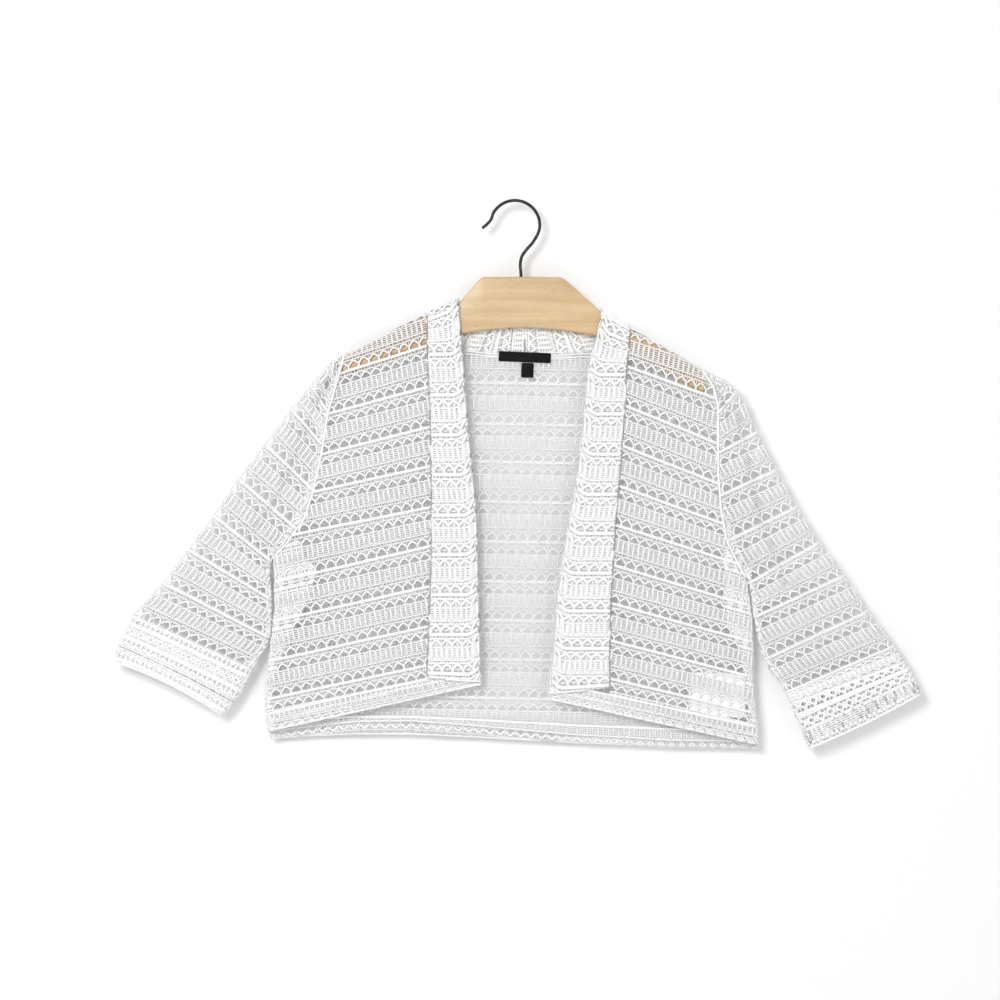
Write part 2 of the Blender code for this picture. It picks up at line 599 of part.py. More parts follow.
def wood_hanger(finish):
    """The flat wooden hanger: a softened board section carried along its arms."""
    half = WOOD_THICK / 2
    ring = []
    for corner_y, corner_z, start in [(1, 1, 0.0), (-1, 1, 90.0), (-1, -1, 180.0), (1, -1, 270.0)]:
        for step in (0.0, 45.0, 90.0):
            angle = math.radians(start + step)
            ring.append((corner_y * (half - WOOD_EDGE_ROUND) + WOOD_EDGE_ROUND * math.cos(angle),
                         corner_z, WOOD_EDGE_ROUND * math.sin(angle)))
    vertices = []
    for x, top, bottom in WOOD_SECTIONS:
        for y, level, rise in ring:
            z = (top - WOOD_EDGE_ROUND if level > 0 else bottom + WOOD_EDGE_ROUND) + rise
            vertices.append((x * MM, y * MM, z * MM))
    around = len(ring)
    faces = []
    for section in range(len(WOOD_SECTIONS) - 1):
        for step in range(around):
            a = section * around + step
            b = section * around + (step + 1) % around
            faces.append((a, b, b + around, a + around))
    faces.append(tuple(range(around - 1, -1, -1)))
    faces.append(tuple(range((len(WOOD_SECTIONS) - 1) * around, len(WOOD_SECTIONS) * around)))
    board = add_object("hanger_wood", vertices, faces, finish)

    bpy.ops.mesh.primitive_cylinder_add(
        vertices=16, radius=HOOK_BORE / 2 * MM, depth=2 * HOOK_SINK * MM,
        location=(WIRE_NECK[-1][0] * MM, 0.0, HOOK_BOTTOM * MM))
    drill = bpy.context.object
    drill.name = "hook_bore_cutter"
    drill.hide_render = True
    drill.display_type = "WIRE"
    cut = board.modifiers.new("hook bore", "BOOLEAN")
    cut.operation = "DIFFERENCE"
    cut.object = drill
    return board


def wire_hook(finish):
    """The wire hook: a round bow, an open flared tip, and a neck that sinks into the wood."""
    centre_z = -(BOW_RADIUS - WIRE / 2)
    route = list(reversed(WIRE_TIP))
    degrees = BOW_FROM_DEG
    while degrees > BOW_TO_DEG:
        angle = math.radians(degrees)
        route.append((BOW_CENTRE_X + BOW_RADIUS * math.cos(angle),
                      centre_z + BOW_RADIUS * math.sin(angle)))
        degrees -= BOW_STEP_DEG
    route += WIRE_NECK
    route.append((WIRE_NECK[-1][0], HOOK_BOTTOM - HOOK_SINK + HOOK_END_CLEAR))
    route = np.array(route)
    step = np.linalg.norm(np.diff(route, axis=0), axis=1)
    along = np.concatenate([[0.0], np.cumsum(step)])
    even = np.linspace(0.0, along[-1], WIRE_RINGS)
    x = smooth(along, route[:, 0], even)
    z = smooth(along, route[:, 1], even)
    curve = bpy.data.curves.new("hanger_hook", "CURVE")
    curve.dimensions = "3D"
    curve.bevel_depth = WIRE / 2 * MM
    curve.bevel_resolution = 2
    curve.use_fill_caps = True
    line = curve.splines.new("POLY")
    line.points.add(len(even) - 1)
    for point, px, pz in zip(line.points, x, z):
        point.co = (px * MM, 0.0, pz * MM, 1.0)
    curve.materials.append(finish)
    made = bpy.data.objects.new("hanger_hook", curve)
    bpy.context.scene.collection.objects.link(made)
    return made


def label(name, spec, finish):
    """A woven label: a thin rectangle turned a little in the plane of the cloth."""
    width, height = spec["size"]
    tilt = math.radians(spec["tilt_deg"])
    vertices = []
    for y in (spec["y"], spec["y"] + LABEL_THICK):
        for dx, dz in ((-1, -1), (1, -1), (1, 1), (-1, 1)):
            px = dx * width / 2
            pz = dz * height / 2
            vertices.append(((spec["centre"][0] + px * math.cos(tilt) - pz * math.sin(tilt)) * MM,
                             y * MM,
                             (spec["centre"][1] + px * math.sin(tilt) + pz * math.cos(tilt)) * MM))
    faces = [(0, 1, 2, 3), (7, 6, 5, 4), (0, 4, 5, 1), (1, 5, 6, 2), (2, 6, 7, 3), (3, 7, 4, 0)]
    return add_object(name, vertices, faces, finish)


clear_scene()
lace = material("white_lace_knit", (0.90, 0.90, 0.89), 0.85)
folded_lace = material("white_lace_knit_folded", (0.92, 0.92, 0.91), 0.85)
beech = material("pale_wood", (0.76, 0.58, 0.34), 0.45)
wire = material("black_wire", (0.02, 0.02, 0.02), 0.35, 0.8)
woven_black = material("black_woven_label", (0.012, 0.012, 0.013), 0.7)
woven_white = material("white_care_label", (0.88, 0.89, 0.90), 0.6)

wood_hanger(beech)
wire_hook(wire)
back_panel(lace)
for side_name in ("left", "right"):
    front_panel(side_name, lace)
    band(side_name, folded_lace)
    sleeve(side_name, lace)
    cuff(side_name, folded_lace)
label("neck_label", NECK_LABEL, woven_black)
label("size_tab", SIZE_TAB, woven_black)
label("care_label", CARE_LABEL, woven_white)
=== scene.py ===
"""Girl's open lace-knit cardigan, hung flat on a wooden hanger with a wire hook.

Z is up, X is to the right seen from the front, and the front faces -Y. The origin is the
inner top of the hook. Lengths in the tables are millimetres; meshes are made in metres.
Left and right are as seen from the front.
"""

import math

import bpy
import numpy as np
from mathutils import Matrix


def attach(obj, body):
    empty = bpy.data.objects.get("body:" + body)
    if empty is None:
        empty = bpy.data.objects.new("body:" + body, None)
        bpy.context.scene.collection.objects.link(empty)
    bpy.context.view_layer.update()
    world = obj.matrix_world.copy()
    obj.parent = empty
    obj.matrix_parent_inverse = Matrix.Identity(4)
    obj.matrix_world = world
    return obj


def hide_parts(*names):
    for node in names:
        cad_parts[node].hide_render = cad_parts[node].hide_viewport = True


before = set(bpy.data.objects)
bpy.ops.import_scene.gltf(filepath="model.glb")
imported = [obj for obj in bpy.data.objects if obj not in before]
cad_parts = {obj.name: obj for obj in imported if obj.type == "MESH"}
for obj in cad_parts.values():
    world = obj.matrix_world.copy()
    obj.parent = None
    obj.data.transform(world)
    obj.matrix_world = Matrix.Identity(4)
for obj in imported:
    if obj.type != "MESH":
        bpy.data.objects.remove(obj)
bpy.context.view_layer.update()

# The studio
# A white board stands close behind the hung cardigan, so the gaps of the lace show its
# shade, and a pale floor lies well below. The board can't be seen from behind, and lets
# the light behind it through to the cardigan's back.
MM = 0.001
VIEW_CENTRE = (-13.3, -283.1)
VIEW_WIDTH = 950.0
VIEW_AWAY = 2700.0
SENSOR = 36.0
BOARD_Y = 18.0
BOARD_WIDE = 1600.0
BOARD_FOOT = -1140.0
BOARD_TOP = 900.0
FLOOR_WIDE = 6000.0
FLOOR_Z = -1150.0
LIGHT_AIM = (0, 0, -300)
AIR_STRENGTH = 0.53
SIDES = ("left", "right")


def new_material(name, **inputs):
    """A material with a Principled shader, its inputs given with low lines for spaces."""
    made = bpy.data.materials.new(name)
    made.use_nodes = True
    shader = made.node_tree.nodes["Principled BSDF"]
    for key, value in inputs.items():
        shader.inputs[key.replace("_", " ")].default_value = value
    return made


def graph(tree, kinds, joins):
    """Add named nodes to a tree and join them.

    kinds gives each node's kind and its values: a name in small letters is a setting of
    the node, stops are a ramp's two ends, and any other is an input. joins lists rows of
    node, output, node, input. shader and output are the nodes a material starts with.
    """
    nodes = {"shader": tree.nodes.get("Principled BSDF"),
             "output": tree.nodes.get("Material Output")}
    for name, (kind, values) in kinds.items():
        node = tree.nodes.new(kind)
        for key, value in values.items():
            if key == "stops":
                for index, (place, colour) in enumerate(value):
                    node.color_ramp.elements[index].position = place
                    node.color_ramp.elements[index].color = (*colour, 1.0)
            elif str(key).islower():
                setattr(node, key, value)
            else:
                node.inputs[key].default_value = value
        nodes[name] = node
    for start, result, end, entry in joins:
        tree.links.new(nodes[start].outputs[result], nodes[end].inputs[entry])


def new_group(name, sockets):
    """An empty node group with its named inputs and outputs."""
    group = bpy.data.node_groups.new(name, "ShaderNodeTree")
    for socket, way, kind in sockets:
        group.interface.new_socket(socket, in_out=way, socket_type=kind)
    return group


def mesh_object(name, points, faces, finish, uv=None, smooth=True):
    """A mesh from points in millimetres and a list of face tables, one per face size."""
    mesh = bpy.data.meshes.new(name)
    corners = np.concatenate([np.asarray(f).reshape(-1) for f in faces])
    sizes = np.concatenate([np.full(len(f), np.asarray(f).shape[1]) for f in faces])
    starts = np.concatenate([[0], np.cumsum(sizes)[:-1]])
    mesh.vertices.add(len(points))
    mesh.vertices.foreach_set("co", (np.asarray(points) * MM).astype(np.float32).ravel())
    mesh.loops.add(len(corners))
    mesh.loops.foreach_set("vertex_index", corners.astype(np.int32))
    mesh.polygons.add(len(sizes))
    mesh.polygons.foreach_set("loop_start", starts.astype(np.int32))
    mesh.update(calc_edges=True)
    mesh.polygons.foreach_set("use_smooth", np.full(len(sizes), smooth))
    if uv is not None:
        layer = mesh.uv_layers.new(name="yarn")
        layer.data.foreach_set("uv", np.asarray(uv, np.float32).ravel())
    mesh.materials.append(finish)
    made = bpy.data.objects.new(name, mesh)
    bpy.context.scene.collection.objects.link(made)
    return made


def studio_sheet(name, wide, span, finish, upright_y=None):
    """A flat sheet of the studio: the upright board at a depth, or else the level floor."""
    corners = [(-wide, span[0]), (wide, span[0]), (wide, span[1]), (-wide, span[1])]
    if upright_y is None:
        corners = [(x, y, FLOOR_Z) for x, y in corners]
    else:
        corners = [(x, upright_y, z) for x, z in corners]
    made = mesh_object(name, corners, [np.array([[0, 1, 2, 3]])], finish, smooth=False)


def studio_light(name, place, aim, width, watts):
    """A square soft light that shines from place to aim."""
    data = bpy.data.lights.new(name, "AREA")
    data.shape = "SQUARE"
    data.size = width * MM
    data.energy = watts
    made = bpy.data.objects.new(name, data)
    bpy.context.scene.collection.objects.link(made)
    made.location = [c * MM for c in place]
    toward = np.array(aim, float) - np.array(place, float)
    turn = math.atan2(math.hypot(toward[0], toward[1]), -toward[2])
    made.rotation_euler = (turn, 0.0, math.atan2(-toward[0], toward[1]))
    return made


board_paint = new_material("white_board", Roughness=0.9, Base_Color=(0.86, 0.86, 0.86, 1.0),
                           Specular_IOR_Level=0.0)
graph(board_paint.node_tree, {
    "clear": ("ShaderNodeBsdfTransparent", {}),
    "either": ("ShaderNodeMixShader", {}),
    "side": ("ShaderNodeNewGeometry", {}),
    "ray": ("ShaderNodeLightPath", {}),
    "open": ("ShaderNodeMath", {"operation": "MAXIMUM"}),
}, [
    ("side", "Backfacing", "open", 0), ("ray", "Is Shadow Ray", "open", 1),
    ("open", 0, "either", 0), ("shader", 0, "either", 1), ("clear", 0, "either", 2),
    ("either", 0, "output", "Surface"),
])
studio_sheet("studio_board", BOARD_WIDE, (BOARD_FOOT, BOARD_TOP), board_paint, BOARD_Y)

floor_paint = new_material("pale_floor", Roughness=0.8)
graph(floor_paint.node_tree, {
    "place": ("ShaderNodeTexCoord", {}),
    "grain": ("ShaderNodeTexNoise", {"Scale": 3.0}),
    "tone": ("ShaderNodeValToRGB",
             {"stops": [(0.0, (0.80, 0.80, 0.79)), (1.0, (0.84, 0.84, 0.83))]}),
}, [
    ("place", "Object", "grain", "Vector"), ("grain", "Fac", "tone", "Fac"),
    ("tone", "Color", "shader", "Base Color"),
])
studio_sheet("studio_floor", FLOOR_WIDE, (-FLOOR_WIDE, FLOOR_WIDE), floor_paint)

studio_light("key_light", (-850, -2450, 550), LIGHT_AIM, 900, 44)
studio_light("fill_light", (1500, -2300, -100), LIGHT_AIM, 1600, 9)
studio_light("back_light", (900, 2400, 500), LIGHT_AIM, 1400, 10)

world = bpy.data.worlds.new("studio_air")
world.use_nodes = True
world.node_tree.nodes["Background"].inputs["Color"].default_value = (1.0, 1.0, 1.0, 1.0)
world.node_tree.nodes["Background"].inputs["Strength"].default_value = AIR_STRENGTH
scene = bpy.context.scene
scene.world = world
scene.view_settings.view_transform = "Standard"
scene.cycles.transparent_max_bounces = 16
scene.cycles.diffuse_bounces = 8

camera_data = bpy.data.cameras.new("front_camera")
camera_data.sensor_width = SENSOR
camera_data.lens = SENSOR * VIEW_AWAY / VIEW_WIDTH
camera_data.clip_end = 50.0
camera = bpy.data.objects.new("front_camera", camera_data)
scene.collection.objects.link(camera)
camera.location = (VIEW_CENTRE[0] * MM, -VIEW_AWAY * MM, VIEW_CENTRE[1] * MM)
camera.rotation_euler = (math.pi / 2, 0.0, 0.0)
scene.camera = camera


# The wooden hanger
# A board 9 mm thick, sawn to a shallow arch with a raised middle, its edges rounded over
# and clear lacquered. The middle is left bare. The shaft of the hook goes into its top.
WOOD_THICK = 9.0
WOOD_EDGE_ROUND = 2.2
WOOD_STEP = 1.0
WOOD_BLEND = 5
ROUND_STEPS = 6
WOOD_SECTIONS = [
    (-164.4, -152.0, -163.0), (-162.4, -148.4, -166.2), (-158.0, -145.2, -165.6),
    (-118.8, -125.8, -146.6), (-82.6, -108.3, -135.6), (-55.0, -97.4, -127.4),
    (-50.6, -94.6, -125.6), (-32.0, -72.9, -121.8), (-29.6, -71.4, -121.6),
    (10.4, -71.2, -118.8), (44.6, -71.6, -121.6), (47.4, -73.0, -121.9),
    (79.6, -101.8, -127.6), (84.8, -107.2, -129.6), (110.2, -121.6, -142.4),
    (144.4, -141.4, -162.4), (174.6, -159.0, -178.8), (179.0, -162.6, -180.8),
    (181.4, -166.8, -178.2),
]


def column(table, index):
    """One column of a table of rows."""
    return np.array([row[index] for row in table], float)


def grid_faces(rows, cols, around=False):
    """Four-cornered faces of a grid of points, row by row; around joins last to first."""
    across = cols if around else cols - 1
    row, here = np.meshgrid(np.arange(rows - 1), np.arange(across), indexing="ij")
    there = (here + 1) % cols
    this_row = row * cols
    next_row = this_row + cols
    return np.stack([this_row + here, next_row + here, next_row + there, this_row + there],
                    -1).reshape(-1, 4)


def hanger_board():
    """Rounded board: at each place across, a rectangle from top to bottom with round corners.

    The top and bottom lines are the table's straight runs, smoothed by a short running
    mean. A corner point is its centre plus the edge's radius times the cosine and sine.
    """
    across = np.arange(WOOD_SECTIONS[0][0], WOOD_SECTIONS[-1][0] + WOOD_STEP / 2, WOOD_STEP)
    lines = []
    for index in (1, 2):
        line = np.interp(across, column(WOOD_SECTIONS, 0), column(WOOD_SECTIONS, index))
        padded = np.concatenate([[line[0]] * (WOOD_BLEND // 2), line, [line[-1]] * (WOOD_BLEND // 2)])
        lines.append(np.convolve(padded, np.ones(WOOD_BLEND) / WOOD_BLEND, "valid"))
    top, bottom = lines
    angle = np.concatenate([np.linspace(q, q + np.pi / 2, ROUND_STEPS)
                            for q in np.arange(4) * np.pi / 2])
    side_y = np.repeat([1, -1, -1, 1], ROUND_STEPS)
    side_z = np.repeat([1, 1, -1, -1], ROUND_STEPS)
    end = np.minimum(across - across[0], across[-1] - across)
    pull = WOOD_EDGE_ROUND - np.sqrt(np.maximum(
        WOOD_EDGE_ROUND ** 2 - np.maximum(WOOD_EDGE_ROUND - end, 0.0) ** 2, 0.0))
    y = (side_y * (WOOD_THICK / 2 - WOOD_EDGE_ROUND) + WOOD_EDGE_ROUND * np.cos(angle))[None]
    y = y - np.sign(y) * pull[:, None]
    level = np.where(side_z[None] > 0, top[:, None] - WOOD_EDGE_ROUND, bottom[:, None] + WOOD_EDGE_ROUND)
    z = level + WOOD_EDGE_ROUND * np.sin(angle)[None]
    x = np.repeat(across[:, None], len(angle), 1)
    points = np.stack([x, y, z], -1).reshape(-1, 3)
    ends = np.array([np.arange(len(angle))[::-1], (len(across) - 1) * len(angle) + np.arange(len(angle))])
    return points, [grid_faces(len(across), len(angle), around=True)[:, ::-1], ends[:, ::-1]]


wood = new_material("lacquered_beech", Roughness=0.42, Coat_Weight=0.25, Coat_Roughness=0.3)
graph(wood.node_tree, {
    "place": ("ShaderNodeTexCoord", {}),
    "along": ("ShaderNodeMapping", {"Scale": (9.0, 60.0, 130.0)}),
    "rings": ("ShaderNodeTexNoise", {"Scale": 1.0, "Detail": 5.0}),
    "short": ("ShaderNodeMapping", {"Scale": (150.0, 700.0, 1100.0)}),
    "flecks": ("ShaderNodeTexNoise", {"Scale": 1.0, "Detail": 2.0}),
    "ring_tone": ("ShaderNodeValToRGB",
                  {"stops": [(0.3, (0.50, 0.335, 0.170)), (0.66, (0.62, 0.455, 0.260))]}),
    "fleck_tone": ("ShaderNodeValToRGB",
                   {"stops": [(0.28, (0.80, 0.72, 0.62)), (0.42, (1.0, 1.0, 1.0))]}),
    "mix": ("ShaderNodeMix", {"data_type": "RGBA", "blend_type": "MULTIPLY", "Factor": 0.8}),
    "bump": ("ShaderNodeBump", {"Strength": 0.12, "Distance": 0.3 * MM}),
}, [
    ("place", "Object", "along", "Vector"), ("along", "Vector", "rings", "Vector"),
    ("place", "Object", "short", "Vector"), ("short", "Vector", "flecks", "Vector"),
    ("rings", "Fac", "ring_tone", "Fac"), ("ring_tone", "Color", "mix", 6),
    ("flecks", "Fac", "fleck_tone", "Fac"), ("fleck_tone", "Color", "mix", 7),
    ("mix", 2, "shader", "Base Color"),
    ("flecks", "Fac", "bump", "Height"), ("bump", "Normal", "shader", "Normal"),
])

board_points, board_faces = hanger_board()
hanger = mesh_object("hanger_board", board_points, board_faces, wood)
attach(hanger, "root")
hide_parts("hanger_wood")


# The wire hook
# Black coated steel wire 3 mm thick, bent to an open bow with a flared tip. Its shaft
# goes straight down into the hanger's top.
WIRE = 3.0
BOW_RADIUS = 23.6
BOW_CENTRE_X = 0.9
BOW_FROM_DEG = 168.0
BOW_TO_DEG = -22.0
BOW_STEP_DEG = 19.0
WIRE_NECK = [(18.1, -38.0), (11.8, -45.4), (7.4, -51.8), (6.0, -58.9), (6.6, -68.0), (6.6, -79.6)]
WIRE_TIP = [(-29.2, -24.1), (-25.4, -20.8)]
WIRE_RINGS = 220
WIRE_SIDES = 18
TIP_STEPS = 5


def smooth(places, values, at):
    """Read a table between its rows with a cubic that keeps each row's own slope."""
    places = np.asarray(places, float)
    values = np.asarray(values, float)
    at = np.clip(np.asarray(at, float), places[0], places[-1])
    slope = np.gradient(values, places)
    cell = np.clip(np.searchsorted(places, at, side="right") - 1, 0, len(places) - 2)
    span = places[cell + 1] - places[cell]
    t = (at - places[cell]) / span
    start = (1 + 2 * t) * (1 - t) ** 2 * values[cell]
    end = t ** 2 * (3 - 2 * t) * values[cell + 1]
    leave = t * (1 - t) ** 2 * span * slope[cell]
    arrive = t ** 2 * (t - 1) * span * slope[cell + 1]
    return start + end + leave + arrive


def hook_wire():
    """Round wire: rings of its radius square to a smooth curve through the bow's points.

    The tip's rings shrink as the sine of their share, which rounds the end over.
    """
    degrees = np.radians(np.arange(BOW_FROM_DEG, BOW_TO_DEG, -BOW_STEP_DEG))
    centre_z = -(BOW_RADIUS - WIRE / 2)
    bow = np.stack([BOW_CENTRE_X + BOW_RADIUS * np.cos(degrees),
                    centre_z + BOW_RADIUS * np.sin(degrees)], 1)
    route = np.concatenate([WIRE_TIP, bow, WIRE_NECK])
    along = np.concatenate([[0.0], np.cumsum(np.linalg.norm(np.diff(route, axis=0), axis=1))])
    even = np.linspace(0.0, along[-1], WIRE_RINGS)
    line = np.stack([smooth(along, route[:, 0], even), smooth(along, route[:, 1], even)], 1)
    tangent = np.gradient(line, axis=0)
    tangent /= np.linalg.norm(tangent, axis=1, keepdims=True)
    radius = np.full(WIRE_RINGS, WIRE / 2)
    cap = np.linspace(0.12, 1.0, TIP_STEPS)
    line = np.concatenate([line[:1] - tangent[:1] * (WIRE / 2 * np.sqrt(1 - cap ** 2))[:, None], line])
    tangent = np.concatenate([np.repeat(tangent[:1], TIP_STEPS, 0), tangent])
    radius = np.concatenate([WIRE / 2 * cap, radius])
    angle = np.linspace(0.0, 2 * np.pi, WIRE_SIDES, endpoint=False)
    x = line[:, :1] + radius[:, None] * np.cos(angle) * tangent[:, 1:]
    z = line[:, 1:] - radius[:, None] * np.cos(angle) * tangent[:, :1]
    y = radius[:, None] * np.sin(angle)
    points = np.stack([x, y, z], -1).reshape(-1, 3)
    rings = len(line)
    first = np.arange(WIRE_SIDES)
    ends = np.array([first, (rings - 1) * WIRE_SIDES + first[::-1]])
    return points, [grid_faces(rings, WIRE_SIDES, around=True), ends]


wire = new_material("black_coated_wire", Metallic=0.6)
graph(wire.node_tree, {
    "place": ("ShaderNodeTexCoord", {}),
    "wear": ("ShaderNodeTexNoise", {"Scale": 240.0, "Detail": 4.0}),
    "tone": ("ShaderNodeValToRGB",
             {"stops": [(0.4, (0.012, 0.012, 0.013)), (0.75, (0.05, 0.05, 0.052))]}),
    "gloss": ("ShaderNodeMapRange", {"To Min": 0.26, "To Max": 0.48}),
}, [
    ("place", "Object", "wear", "Vector"),
    ("wear", "Fac", "tone", "Fac"), ("tone", "Color", "shader", "Base Color"),
    ("wear", "Fac", "gloss", "Value"), ("gloss", "Result", "shader", "Roughness"),
])

wire_points, wire_faces = hook_wire()
hook = mesh_object("wire_hook", wire_points, wire_faces, wire)
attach(hook, "root")
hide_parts("hanger_hook")


# The lace knit and the back
# Soft white cotton yarn, knitted to one open repeat: a raised ridge, a line of small
# holes, arches over large round gaps, a ladder of bars and rungs, and arches again down
# to the next ridge. The back is one piece of it with a turned-up hem.
SCALLOP = 9.9
REPEAT = 37.7
DEPTH = 7.2
TURN_EXTRA = DEPTH * (math.pi / 2 - 1)
EDGE_IN = 0.5
UNDERARM_ROUND = 14.0
# How far the knitting strays: mm across, repeats down; and the shortest length of yarn
STRAY_ACROSS = 0.22
STRAY_DOWN = 0.006
SHORTEST = 0.15

# Yarns along a row: points over one scallop (share across, mm below the ridge), then
# half width, half thickness, how far it stands out, and how many sides its tube has
ROW_YARNS = [
    ([(0.0, -0.80), (0.5, -0.60)], 0.76, 0.62, 0.66, 4),
    ([(0.0, 0.50), (0.5, 0.70)], 0.70, 0.60, 0.58, 4),
    ([(0.0, 4.0), (0.5, 4.3)], 0.62, 0.36, 0.0, 4),
    ([(0.0, 9.7), (0.13, 8.8), (0.27, 6.9), (0.5, 5.6), (0.73, 6.9), (0.87, 8.8)],
     0.92, 0.52, 0.18, 4),
    ([(0.0, 12.3), (0.5, 12.7)], 0.78, 0.44, 0.05, 4),
    ([(0.25, 14.9), (0.75, 14.7)], 0.60, 0.50, 0.22, 3),
    ([(0.25, 16.9), (0.75, 16.7)], 0.60, 0.50, 0.22, 3),
    ([(0.25, 18.9), (0.75, 18.8)], 0.60, 0.50, 0.22, 3),
    ([(0.25, 20.9), (0.75, 20.8)], 0.60, 0.50, 0.22, 3),
    ([(0.25, 22.8), (0.75, 22.7)], 0.60, 0.50, 0.22, 3),
    ([(0.0, 24.6), (0.5, 24.5)], 0.78, 0.44, 0.05, 4),
    ([(0.0, 27.6), (0.5, 27.8)], 0.62, 0.36, 0.0, 4),
    ([(0.0, 33.2), (0.13, 32.3), (0.27, 30.4), (0.5, 29.1), (0.73, 30.4), (0.87, 32.3)],
     0.92, 0.52, 0.18, 4),
]
# Yarns down a column: points from top to bottom, then the same sizes
COLUMN_YARNS = [
    ([(0.5, 0.9), (0.5, 5.4)], 0.58, 0.40, 0.0, 3),
    ([(0.14, 0.9), (0.27, 6.7)], 0.48, 0.36, 0.0, 3),
    ([(0.86, 0.9), (0.73, 6.7)], 0.48, 0.36, 0.0, 3),
    ([(0.0, 0.9), (0.0, 8.9)], 0.48, 0.36, 0.0, 3),
    ([(0.0, 9.3), (0.0, 16.5), (0.0, 24.6)], 1.04, 0.52, 0.20, 4),
    ([(0.5, 12.5), (0.5, 18.5), (0.5, 24.6)], 1.00, 0.52, 0.20, 4),
    ([(0.5, 24.6), (0.5, 29.0)], 0.58, 0.40, 0.0, 3),
    ([(0.14, 24.6), (0.27, 30.2)], 0.48, 0.36, 0.0, 3),
    ([(0.86, 24.6), (0.73, 30.2)], 0.48, 0.36, 0.0, 3),
    ([(0.0, 24.6), (0.0, 32.4)], 0.48, 0.36, 0.0, 3),
    ([(0.0, 32.8), (0.0, 37.2)], 1.15, 0.48, 0.14, 4),
]

# Armhole and side seam, top to bottom: height, then how far out it runs
SIDE_LINE = {
    "left": [(-143.9, -160.5), (-201.4, -176.7), (-239.9, -182.9), (-275.5, -190.9),
             (-300.0, -198.6), (-326.0, -217.0), (-333.0, -224.4), (-337.3, -228.6),
             (-357.0, -227.6), (-384.0, -227.0), (-408.5, -229.6), (-427.5, -231.8),
             (-460.0, -236.0), (-476.0, -235.6), (-497.0, -234.2), (-512.0, -231.0)],
    "right": [(-157.4, 176.7), (-175.0, 189.0), (-192.9, 193.4), (-260.3, 193.8),
              (-294.5, 196.7), (-321.1, 201.8), (-344.0, 212.6), (-353.0, 217.8),
              (-358.0, 220.6), (-388.6, 225.0), (-407.6, 226.6), (-424.7, 226.9),
              (-449.4, 226.6), (-473.1, 228.2), (-492.1, 230.6), (-503.5, 231.6),
              (-520.0, 231.6)],
}
UNDERARM_Z = {"left": -337.3, "right": -358.0}
# Shoulder line: from the band's seam to the sleeve, place across and height at each end
SHOULDER = {"left": [(-82.6, -105.8), (-160.5, -143.9)], "right": [(110.2, -119.4), (176.7, -157.4)]}
BACK_RIDGES = [-171.9, -210.9, -247.0, -285.0, -323.0, -361.0, -398.0, -435.1, -472.1]
BACK_SLOPE = -0.02
BACK_TURN_DEG = -3.5
BACK_MIDDLE_X = 5.0
BACK_SHIFT = 3.2
BACK_HEM = [(-240.0, -510.6), (-190.0, -507.6), (-150.0, -506.0), (-97.8, -506.3),
            (-33.2, -509.2), (58.9, -514.4), (149.2, -517.8), (240.0, -519.6)]
NECKLINE = [(-82.6, -113.0), (-78.4, -121.5), (-70.3, -131.1), (-51.3, -140.6),
            (-22.8, -143.9), (10.4, -144.6), (46.5, -145.3), (77.9, -143.4),
            (96.9, -137.8), (106.5, -131.0), (110.2, -126.6)]
HEM_DEPTH = 16.0
HEM_BULK = 1.75
HEM_SHIFT = 5.2
HEM_LAYER = 1.3
BACK_SCALLOPS = (-26, 27)
BODY_REPEATS = (-1, 11)
# Yarn at a hem: half width, half thickness and lift along its fold and its line of stitches
HEM_FOLD = (1.0, 1.2, -0.5)
BACK_HEM_RUN = np.arange(-233.0, 231.0, 3.0)
BACK_HEM_RAISE = 0.7
BACK_HEM_STITCHES = (1.2, 0.55, 1.7)


def falling(table, at):
    """Read the second column of a table whose first column falls, in straight runs."""
    return np.interp(-np.asarray(at, float), -column(table, 0), column(table, 1))


def outward(side):
    """The sign of X that points from the body to this side's sleeve."""
    return -1.0 if side == "left" else 1.0


def turn(run, reach):
    """Round a fold: an arc run from the edge gives the distance seen flat and the depth.

    Both follow a quarter circle of the given reach: one minus the cosine, and the sine.
    Past the quarter circle the cloth lies flat, at full depth.
    """
    angle = np.clip(run / reach, 0.0, np.pi / 2)
    seen = reach * (1 - np.cos(angle)) + np.maximum(run - reach * np.pi / 2, 0.0)
    return seen, np.sin(angle)


def side_fold(side, z):
    """1 where front and back fold into each other, 0 along the open armhole."""
    rise = np.clip((z - UNDERARM_Z[side]) / UNDERARM_ROUND, 0.0, 1.0)
    return 1.0 - np.sqrt(1.0 - (1.0 - rise) ** 2)


def ripple(a, b, seed):
    """Soft unevenness from -1 to 1: three crossed sine waves of different lengths."""
    return (np.sin(a / 31.0 + b / 57.0 + seed) + np.sin(a / 73.0 - b / 41.0 + 2.3 * seed)
            + np.sin(a / 17.0 + b / 23.0 + 4.1 * seed)) / 3.0


def body_place(flat, face, relief):
    """Place of a point of the body's cloth, from its place on the unrolled sheet.

    flat holds place across and height. The depth is the full depth, times the turn at the
    side seam where front and back are folded together, times the turn at the shoulder.
    face is -1 for a front and 1 for the back. relief adds depth, as a function of both.
    """
    x = flat[..., 0]
    z = flat[..., 1]
    depth = np.ones_like(x)
    out_x = x.copy()
    for side in SIDES:
        sign = outward(side)
        fold = side_fold(side, z)
        edge = falling(SIDE_LINE[side], z)
        seen, share = turn(sign * (edge - x) + TURN_EXTRA, DEPTH)
        out_x = out_x + fold * (edge - sign * seen - x)
        depth = depth * (1.0 - fold * (1.0 - share))
    roof = shoulder_line(x)
    seen, share = turn(roof - z + TURN_EXTRA, DEPTH)
    near = (x < SHOULDER["left"][0][0] + 1.0) | (x > SHOULDER["right"][0][0] - 1.0) | (face < 0)
    out_z = np.where(near, roof - seen, z)
    depth = np.where(near, depth * share, depth)
    y = face * (DEPTH * depth + relief(x, z) * depth)
    return np.stack([out_x, y, out_z], -1)


